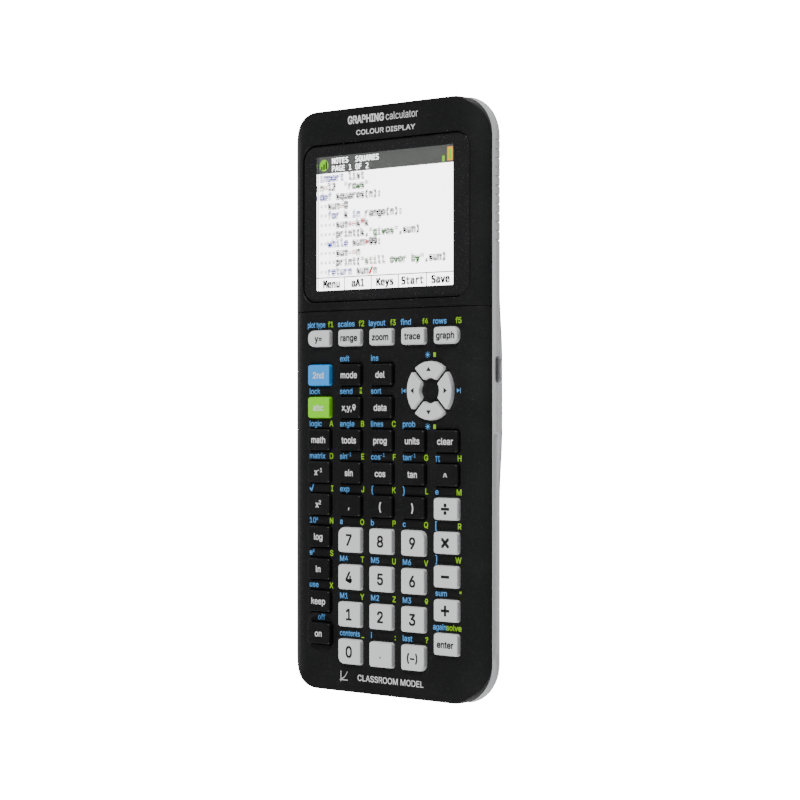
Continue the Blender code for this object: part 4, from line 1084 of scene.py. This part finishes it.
def buildPanel():
    low, high = cadBox("display_panel")
    frameSteel = plastic("panelFrame", (0.3, 0.3, 0.3), 0.35, grain=0.1, Metallic=1.0)
    body = Shell()
    middle, half = (low + high) / 2, (high - low) / 2
    edge = quarterRound((0, high[2] - 0.3), (-0.3, high[2]), 4)
    arcs = rectArcs(*half[:2], 0.8, middle[:2])
    rows = body.rings(arcs, [(0, low[2], 1, 0), *edge])
    body.cap(rows[0], -1)
    body.cap(rows[-1])
    body.build("displayFrame", [frameSteel], "case", ["display_panel"], "display")
    page = Shell()
    left, right = middleX - pictureX + 0.01, middleX + pictureX - 0.01
    bottom, top = middleY - pictureY + 0.01, middleY + pictureY - 0.01
    header, tab = windowLook["headerHeight"], windowLook["tabHeight"]
    screenBlock(page, left, right, bottom, top - header, pageZ, pageZ + 0.02)
    screenBlock(page, left, right, top - header, top, pageZ, pageZ + 0.02, 1)
    line = pageZ + 0.03
    screenBlock(page, left, right, bottom + tab - 0.15, bottom + tab + 0.15, pageZ, line, 2)
    for share in np.linspace(0, 1, 6)[1:-1]:
        x = left + (right - left) * share
        screenBlock(page, x - 0.15, x + 0.15, bottom, bottom + tab, pageZ, line, 2)
    page.build("displayPage", [screenInk[k] for k in ("page", "header", "black")], "case")
    return left, right, bottom, top


# Printing. Text and marks gather by body and ink, then each group becomes one flat piece that
# follows the surface it is on.
fontFolder = bpy.utils.system_resource("DATAFILES", path="fonts")


def findFont(file):
    path = fontFolder + "/" + file
    return bpy.data.fonts.load(path) if os.path.exists(path) else None


fonts = {"word": findFont("Inter.woff2"), "screen": findFont("DejaVuSansMono.woff2")}
printed = {}
glyphs = {}


# Flat triangles of a text one millimetre high, with its left end at x = 0.
def textShape(text, font):
    key = (text, font)
    if text == "}":
        points, faces = textShape("{", font)
        return (points[:, 0].max(), 0) + points * (-1, 1), [face[::-1] for face in faces]
    if key not in glyphs:
        curve = bpy.data.curves.new("text", "FONT")
        curve.body, curve.size = text, 1.0
        curve.resolution_u = 3
        if fonts[font]:
            curve.font = fonts[font]
        made = bpy.data.objects.new("text", curve)
        collection.objects.link(made)
        graph = bpy.context.evaluated_depsgraph_get()
        mesh = bpy.data.meshes.new_from_object(made.evaluated_get(graph))
        points = np.zeros(len(mesh.vertices) * 3)
        mesh.vertices.foreach_get("co", points)
        points = points.reshape(-1, 3)[:, :2]
        faces = [list(p.vertices) for p in mesh.polygons]
        bpy.data.objects.remove(made)
        bpy.data.curves.remove(curve)
        bpy.data.meshes.remove(mesh)
        if len(points):
            points = points - (points[:, 0].min(), 0)
        glyphs[key] = points, faces
    return glyphs[key]


printStep = 0.0035  # between strikes, so that none lie in one plane


def stamp(points, faces, body, ink, level, rise=0.0):
    printed.setdefault((body, ink), []).append((points, faces, level, rise))


# A bar in the text starts a raised, smaller part. The align is 0 for left, 0.5 and 1 for right.
# Strokes are thickened by printing them again on each side at the weight's distance.
def write(text, x, y, size, body, ink, level, align=0.5, squeeze=1.02, weight=0.014,
          font="word", widest=None, middle=True):
    pieces, reach = [], 0.0
    for number, part in enumerate(text.split("|")):
        points, faces = textShape(part, font)
        if not len(points):
            continue
        scale = size * (0.66 if number else 1.0)
        shaped = points * (scale * squeeze, scale) + (reach, size * 0.26 if number else 0)
        pieces.append((shaped, faces, scale * weight))
        reach = shaped[:, 0].max() + size * 0.04
    if not pieces:
        return
    whole = np.concatenate([p[0] for p in pieces])
    width = whole[:, 0].max()
    narrow = min(1.0, widest / width) if widest else 1.0
    drop = size * 0.26 if middle else 0.0
    for points, faces, shift in pieces:
        moved = points * (narrow, 1) + (x - width * narrow * align, y - drop)
        turns = ((-1, -1), (1, -1), (1, 1), (-1, 1)) if weight else ((0, 0),)
        for layer, turn in enumerate(turns):
            stamp(moved + shift * np.array(turn), faces, body, ink, level,
                  layer * printStep)


def mark(points, x, y, body, ink, level):
    stamp(np.asarray(points, float) + (x, y), [list(range(len(points)))], body, ink, level)


def flushPrint(inks):
    for (body, ink), items in printed.items():
        points, faces, start = [], [], 0
        for flat, polygons, level, rise in items:
            height = (level(flat) if callable(level) else np.full(len(flat), level)) + rise
            points.append(np.column_stack([flat, height]))
            faces += [[i + start for i in face] for face in polygons]
            start += len(flat)
        points = np.concatenate(points)
        mesh = bpy.data.meshes.new("print_" + body + "_" + ink)
        mesh.from_pydata(points * mm, [], faces)
        mesh.materials.append(inks[ink])
        place(bpy.data.objects.new(mesh.name, mesh), body)
    printed.clear()


legendLook = {
    "word": 3.85,
    "digit": 6.8,
    "operator": 9.0,
    "caret": 5.4,
    "bracket": 4.9,
    "small": 3.45,
    "lift": 0.006,  # of the ink
    "above": 1.8,  # from a key's top edge to the middle of what is printed above it
}
# key: (on the key, blue above it, green above it)
legends = {
    "y_equals": ("y=", "plot type", "f1"), "window": ("range", "scales", "f2"),
    "zoom": ("zoom", "layout", "f3"), "trace": ("trace", "find", "f4"),
    "graph": ("graph", "rows", "f5"),
    "second": ("2nd", "", ""), "mode": ("mode", "exit", ""), "delete": ("del", "ins", ""),
    "alpha": ("abc", "lock", ""), "variable": ("x,y,θ", "send", ""),
    "stat": ("data", "sort", ""),
    "math": ("math", "logic", "A"), "apps": ("tools", "angle", "B"),
    "program": ("prog", "lines", "C"), "vars": ("units", "prob", ""), "clear": ("clear", "", ""),
    "inverse": ("x|-1", "matrix", "D"), "sine": ("sin", "sin|-1", "E"),
    "cosine": ("cos", "cos|-1", "F"), "tangent": ("tan", "tan|-1", "G"), "power": ("^", "π", "H"),
    "square": ("x|2", "√", "I"), "comma": (",", "exp", "J"), "open_bracket": ("(", "{", "K"),
    "close_bracket": (")", "}", "L"), "divide": ("÷", "e", "M"),
    "log": ("log", "10|x", "N"), "7": ("7", "a", "O"), "8": ("8", "b", "P"), "9": ("9", "c", "Q"),
    "multiply": ("×", "[", "R"),
    "natural_log": ("ln", "e|x", "S"), "4": ("4", "M4", "T"), "5": ("5", "M5", "U"),
    "6": ("6", "M6", "V"), "minus": ("−", "]", "W"),
    "store": ("keep", "use", "X"), "1": ("1", "M1", "Y"), "2": ("2", "M2", "Z"),
    "3": ("3", "M3", "θ"), "plus": ("+", "sum", '"'),
    "on": ("on", "off", ""), "0": ("0", "contents", "_"), "point": (".", "i", ":"),
    "negative": ("(−)", "last", "?"), "enter": ("enter", "again", "solve"),
}


def onFace(points):
    return faceHeight(points) + 4 * legendLook["lift"]


def printKeys():
    level = keyTopZ + legendLook["lift"]
    for name, (own, blue, green) in legends.items():
        low, high = keyBoxes[name]
        x, y = keyMiddle[name][:2]
        half = (high - low)[:2] / 2 - keyLook["flange"]
        pale = keyFinish["key_" + name] == "light_key"
        ink = "inkBlack" if pale else "inkWhite"
        size, weight, rise = legendLook["word"], 0.026 if pale else 0.016, 0.0
        if own in "0123456789^÷×−+":
            size, weight = legendLook["digit" if own.isdigit() else "operator"], 0.02
            if own == "^":
                size, weight = legendLook["caret"], 0.012
            tall = textShape(own, "word")[0][:, 1]
            rise = size * (0.26 - (tall.min() + tall.max()) / 2)
        elif own in ("(", ")", "(−)"):
            size = legendLook["bracket"]
        write(own, x, y + rise, size, "key_" + name, ink, level, widest=2 * half[0] - 0.9,
              weight=weight)
        top = y + half[1] + legendLook["above"]
        left, right = x - half[0], x + half[0]
        small = legendLook["small"]
        blueSize = small * (1.3 if blue and blue in "√π{}[]" else 1.0)
        if green:
            write(green, right + 0.7, top, small, "case", "inkGreen", onFace, align=1,
                  widest=6.2)
            taken = 2.6 if len(green) == 1 else 3.4
            wide = 5.2 if name == "enter" else 2 * half[0] + 1.5 - taken
            write(blue, left - (0.9 if len(green) > 1 else 0), top, blueSize, "case", "inkBlue",
                  onFace, align=0, widest=wide)
        elif blue:
            centred = name == "on"
            write(blue, x if centred else left, top, small, "case", "inkBlue", onFace,
                  align=0.5 if centred else 0)


def printPad():
    level = keyTopZ + legendLook["lift"]
    middle = (ringOuter + ringInner) / 2
    for turn, name in enumerate(arrowNames):
        angle = turn * math.pi / 2
        tip = np.array([(0.85, 0), (-0.5, 1.0), (-0.5, -1.0)])
        rotate = np.array([[math.cos(angle), math.sin(angle)],
                           [-math.sin(angle), math.cos(angle)]])
        spot = np.array(ringCentre) + middle * np.array([math.cos(angle), math.sin(angle)])
        mark(tip @ rotate, *spot, "key_" + name, "inkBlack", level)
    x, y = ringCentre
    reach = ringOuter + 1.75
    bar = np.array([(-0.13, -0.8), (0.13, -0.8), (0.13, 0.8), (-0.13, 0.8)])
    head = np.array([(-0.6, 0), (0.5, -0.65), (0.5, 0.65)])
    for side in (-1, 1):
        flip = (-side, 1)
        points = head * flip
        mark(points if side < 0 else points[::-1], x + side * reach, y, "case", "inkBlue", onFace)
        mark(bar, x + side * (reach + 0.9), y, "case", "inkBlue", onFace)
    turns = np.arange(16) * math.pi / 8
    disc = 0.5 * np.column_stack([np.cos(turns), np.sin(turns)])
    ray = np.array([(0.68, -0.1), (1.02, -0.1), (1.02, 0.1), (0.68, 0.1)])
    box = np.array([(-0.5, -0.7), (0.5, -0.7), (0.5, 0.7), (-0.5, 0.7)])
    corner = keyBoxes["variable"][1]
    fraction = (corner[0] - 1.5, corner[1] - keyLook["flange"] + legendLook["above"])
    for rise, tall in ((-0.85, 0.6), (-0.1, 0.2), (0.55, 0.6)):
        mark([(-0.45, rise), (0.45, rise), (0.45, rise + tall), (-0.45, rise + tall)], *fraction,
             "case", "inkGreen", onFace)
    for side in (-1, 1):
        sunY = y + side * (ringOuter + 1.9)
        mark(disc, x - 1.3, sunY, "case", "inkBlue", onFace)
        for turn in range(8):
            a = turn * math.pi / 4
            turned = ray @ np.array([[math.cos(a), math.sin(a)], [-math.sin(a), math.cos(a)]])
            mark(turned, x - 1.3, sunY, "case", "inkBlue", onFace)
        mark(box, x + 1.5, sunY, "case", "inkGreen", onFace)


titleLook = {
    "title": 4.6, "titleAbove": 6.9,  # from the window's edge
    "second": 3.0, "secondAbove": 2.7,
    "foot": 3.7, "footBelow": 3.2,  # from the lowest key
    "icon": -16.6,  # its place across the face
}


# A plain drawing of two axes and a curve, and plain words, stand where a maker puts its own.
def printTitles():
    top = windowHigh[1] + faceLook["holeGap"]
    y, size = top + titleLook["titleAbove"], titleLook["title"]
    write("GRAPHING", 0.5, y, size, "case", "inkWhite", onFace, align=1, weight=0.024,
          squeeze=0.9)
    write("calculator", 1.4, y, size, "case", "inkWhite", onFace, align=0,
          weight=0.0, squeeze=0.9)
    write("COLOUR DISPLAY", 1.2, top + titleLook["secondAbove"], titleLook["second"], "case",
          "inkWhite", onFace, squeeze=1.35)
    low = keyBoxes["0"][0][1] - titleLook["footBelow"]
    write("CLASSROOM MODEL", 3.2, low, titleLook["foot"], "case", "inkWhite", onFace,
          squeeze=1.06, weight=0.01)
    x = titleLook["icon"]
    for bar in ([(-1.7, -1.3), (1.7, -1.3), (1.7, -1.05), (-1.7, -1.05)],
                [(-1.35, -1.7), (-1.1, -1.7), (-1.1, 1.7), (-1.35, 1.7)]):
        mark(bar, x, low, "case", "inkWhite", onFace)
    run = np.linspace(-1.0, 1.6, 14)
    rise = -0.9 + 0.9 * (run + 1.0) ** 2 / 2.6
    curve = np.column_stack([np.concatenate([run, run[::-1]]),
                             np.concatenate([rise, rise[::-1] + 0.28])])
    mark(curve, x, low, "case", "inkWhite", onFace)


# Lines of the page as (ink, text) runs.
screenLines = [
    [("blue", "import "), ("black", "list")],
    [("black", "n"), ("red", "="), ("black", "12  "), ("green", '"rows"')],
    [("blue", "def "), ("black", "squares(n):")],
    [("grey", "··"), ("black", "sum"), ("red", "="), ("black", "0")],
    [("grey", "··"), ("blue", "for "), ("black", "k "), ("blue", "in "), ("black", "range(n):")],
    [("grey", "····"), ("black", "sum"), ("red", "+="), ("black", "k"), ("red", "*"),
     ("black", "k")],
    [("grey", "····"), ("black", "print(k,"), ("green", '"gives"'), ("black", ",sum)")],
    [("grey", "··"), ("blue", "while "), ("black", "sum"), ("red", ">"), ("black", "99:")],
    [("grey", "····"), ("black", "sum"), ("red", "-="), ("black", "n")],
    [("grey", "····"), ("black", "print("), ("green", '"still over by"'), ("black", ",sum)")],
    [("grey", "··"), ("blue", "return "), ("black", "sum"), ("red", "/"), ("black", "n")],
]


def printScreen(left, right, bottom, top):
    level = pageZ + 0.045
    step = screenLook["lineStep"]

    def run(text, column, y, ink, weight=0.058, size=screenLook["fontSize"],
            advance=57.2 / screenLook["columns"]):
        squeeze = 1.42 * advance / (0.602 * size)
        for offset, letter in enumerate(text):
            if letter != " ":
                tall = size * (1.35 if letter == "*" else 1.0)
                x = left + 0.5 + (column + offset + 0.5) * advance
                write(letter, x, y, tall, "case", ink, level, squeeze=squeeze,
                      weight=weight, font="screen")

    for row, runs in enumerate(screenLines):
        column, y = 0, top - windowLook["headerHeight"] - (row + 0.5) * step + 0.1
        for ink, text in runs:
            run(text, column, y, ink)
            column += len(text)
    run("NOTES  SQUARES", 3.7, top - 1.5, "white", 0.008, 3.3, 1.46)
    run("PAGE 1 OF 2", 3.7, top - 3.95, "white", 0.008, 3.3, 1.46)
    width = (right - left) / 5
    for tab, text in enumerate(("Menu", "aA1", "Keys", "Start", "Save")):
        middle = left + width * (tab + 0.5)
        write(text, middle, bottom + 2.1, 4.3, "case", "black", level, weight=0.04,
              font="screen", widest=width - 1.0)
    ring = np.linspace(0, 2 * math.pi, 25)[:-1]
    badge = 1.9 * np.column_stack([np.cos(ring), np.sin(ring)])
    mark(badge, left + 2.5, top - 2.7, "case", "lime", level)
    bars = [(-1.3, 0.9), (-0.3, 1.7), (0.7, 2.5)]
    for x, high in bars:
        mark([(x, -1.3), (x + 0.6, -1.3), (x + 0.6, high - 1.3), (x, high - 1.3)],
             left + 2.5, top - 2.7, "case", "black", level + 0.02)
    mark([(-1.1, -2.1), (1.1, -2.1), (1.1, 2.1), (-1.1, 2.1)], right - 1.9, top - 2.7, "case",
         "orange", level)
    mark([(-0.6, -1.7), (0.6, -1.7), (0.6, 1.4), (-0.6, 1.4)], right - 1.9, top - 2.7, "case",
         "lime", level + 0.02)
    mark([(-0.5, -0.9), (0.5, -0.9), (0.5, 0.9), (-0.5, 0.9)], right - 4.6, top - 4.1, "case",
         "lime", level)


print("display")
buildWindow()
pageSides = buildPanel()
printScreen(*pageSides)
flushPrint(screenInk)
print("printing")
printKeys()
printPad()
printTitles()
flushPrint(finishes)

# Inside pieces keep the solids' shapes.
print("inside")
insides = {
    "main_board": plastic("boardGreen", (0.012, 0.10, 0.035), 0.4, grain=0.2, dust=0.0),
    "key_mat": plastic("matRubber", (0.30, 0.31, 0.31), 0.8, grain=0.5, dust=0.0),
    "battery_pack": plastic("batteryWrap", (0.04, 0.08, 0.19), 0.35, grain=0.2, dust=0.0),
}
for node, finish in insides.items():
    for holder in bpy.data.objects[node].material_slots:
        holder.material = finish


# Stage: a pale floor, a camera and soft lights.
def buildStage():
    floor = Shell()
    side = 3000.0
    ring = np.array([[-side, -side, 0], [side, -side, 0], [side, side, 0], [-side, side, 0]])
    floor.cap(ring)
    mesh = bpy.data.meshes.new("floor")
    mesh.from_pydata(floor.points[0] * mm, [], floor.faces)
    made = bpy.data.objects.new("floor", mesh)
    collection.objects.link(made)
    paper = bpy.data.materials.new("floor")
    paper.use_nodes = True
    shader = paper.node_tree.nodes["Principled BSDF"]
    shader.inputs["Base Color"].default_value = (0.85, 0.85, 0.85, 1)
    shader.inputs["Roughness"].default_value = 0.9
    shader.inputs["Emission Color"].default_value = (1, 1, 1, 1)
    light = paper.node_tree.nodes.new("ShaderNodeLightPath")
    strength = mathNode(
        paper.node_tree, "MULTIPLY_ADD", light.outputs["Is Camera Ray"], stageLook["floorGlow"], 0.0
    )
    paper.node_tree.links.new(strength, shader.inputs["Emission Strength"])
    mesh.materials.append(paper)


def addLight(name, spot, aim, size, power, colour=(1, 1, 1)):
    data = bpy.data.lights.new(name, "AREA")
    data.shape, data.size, data.size_y = "RECTANGLE", size[0], size[1]
    data.energy, data.color = power, colour
    made = bpy.data.objects.new(name, data)
    made.location = spot
    made.rotation_euler = (Vector(aim) - Vector(spot)).to_track_quat("-Z", "Y").to_euler()
    collection.objects.link(made)


stageLook = {"floorGlow": 18.0, "world": 0.12}
buildStage()
addLight("farEnd", (0.1, 1.5, 1.1), (0, 0, 0), (0.9, 0.7), 34)
addLight("nearEnd", (0.1, -1.5, 1.0), (0, 0, 0), (0.9, 0.7), 29)

world = bpy.data.worlds.new("studio")
world.use_nodes = True
world.node_tree.nodes["Background"].inputs["Color"].default_value = (1, 1, 1, 1)
world.node_tree.nodes["Background"].inputs["Strength"].default_value = stageLook["world"]
bpy.context.scene.world = world

# The camera looks across the face from its right, turned so that the display end is up.
camera = bpy.data.objects.new("camera", bpy.data.cameras.new("camera"))
camera.data.lens, camera.data.sensor_width = 100.5, 36.0
camera.data.shift_y = 0.0098
yaw = 0.7217
look = Matrix((
    (math.cos(yaw), 0, math.sin(yaw)),
    (0, 1, 0),
    (-math.sin(yaw), 0, math.cos(yaw)),
)).to_4x4()
look.translation = Vector((468.4, -2.45, 539.1)) * mm
camera.matrix_world = look
collection.objects.link(camera)
bpy.context.scene.camera = camera
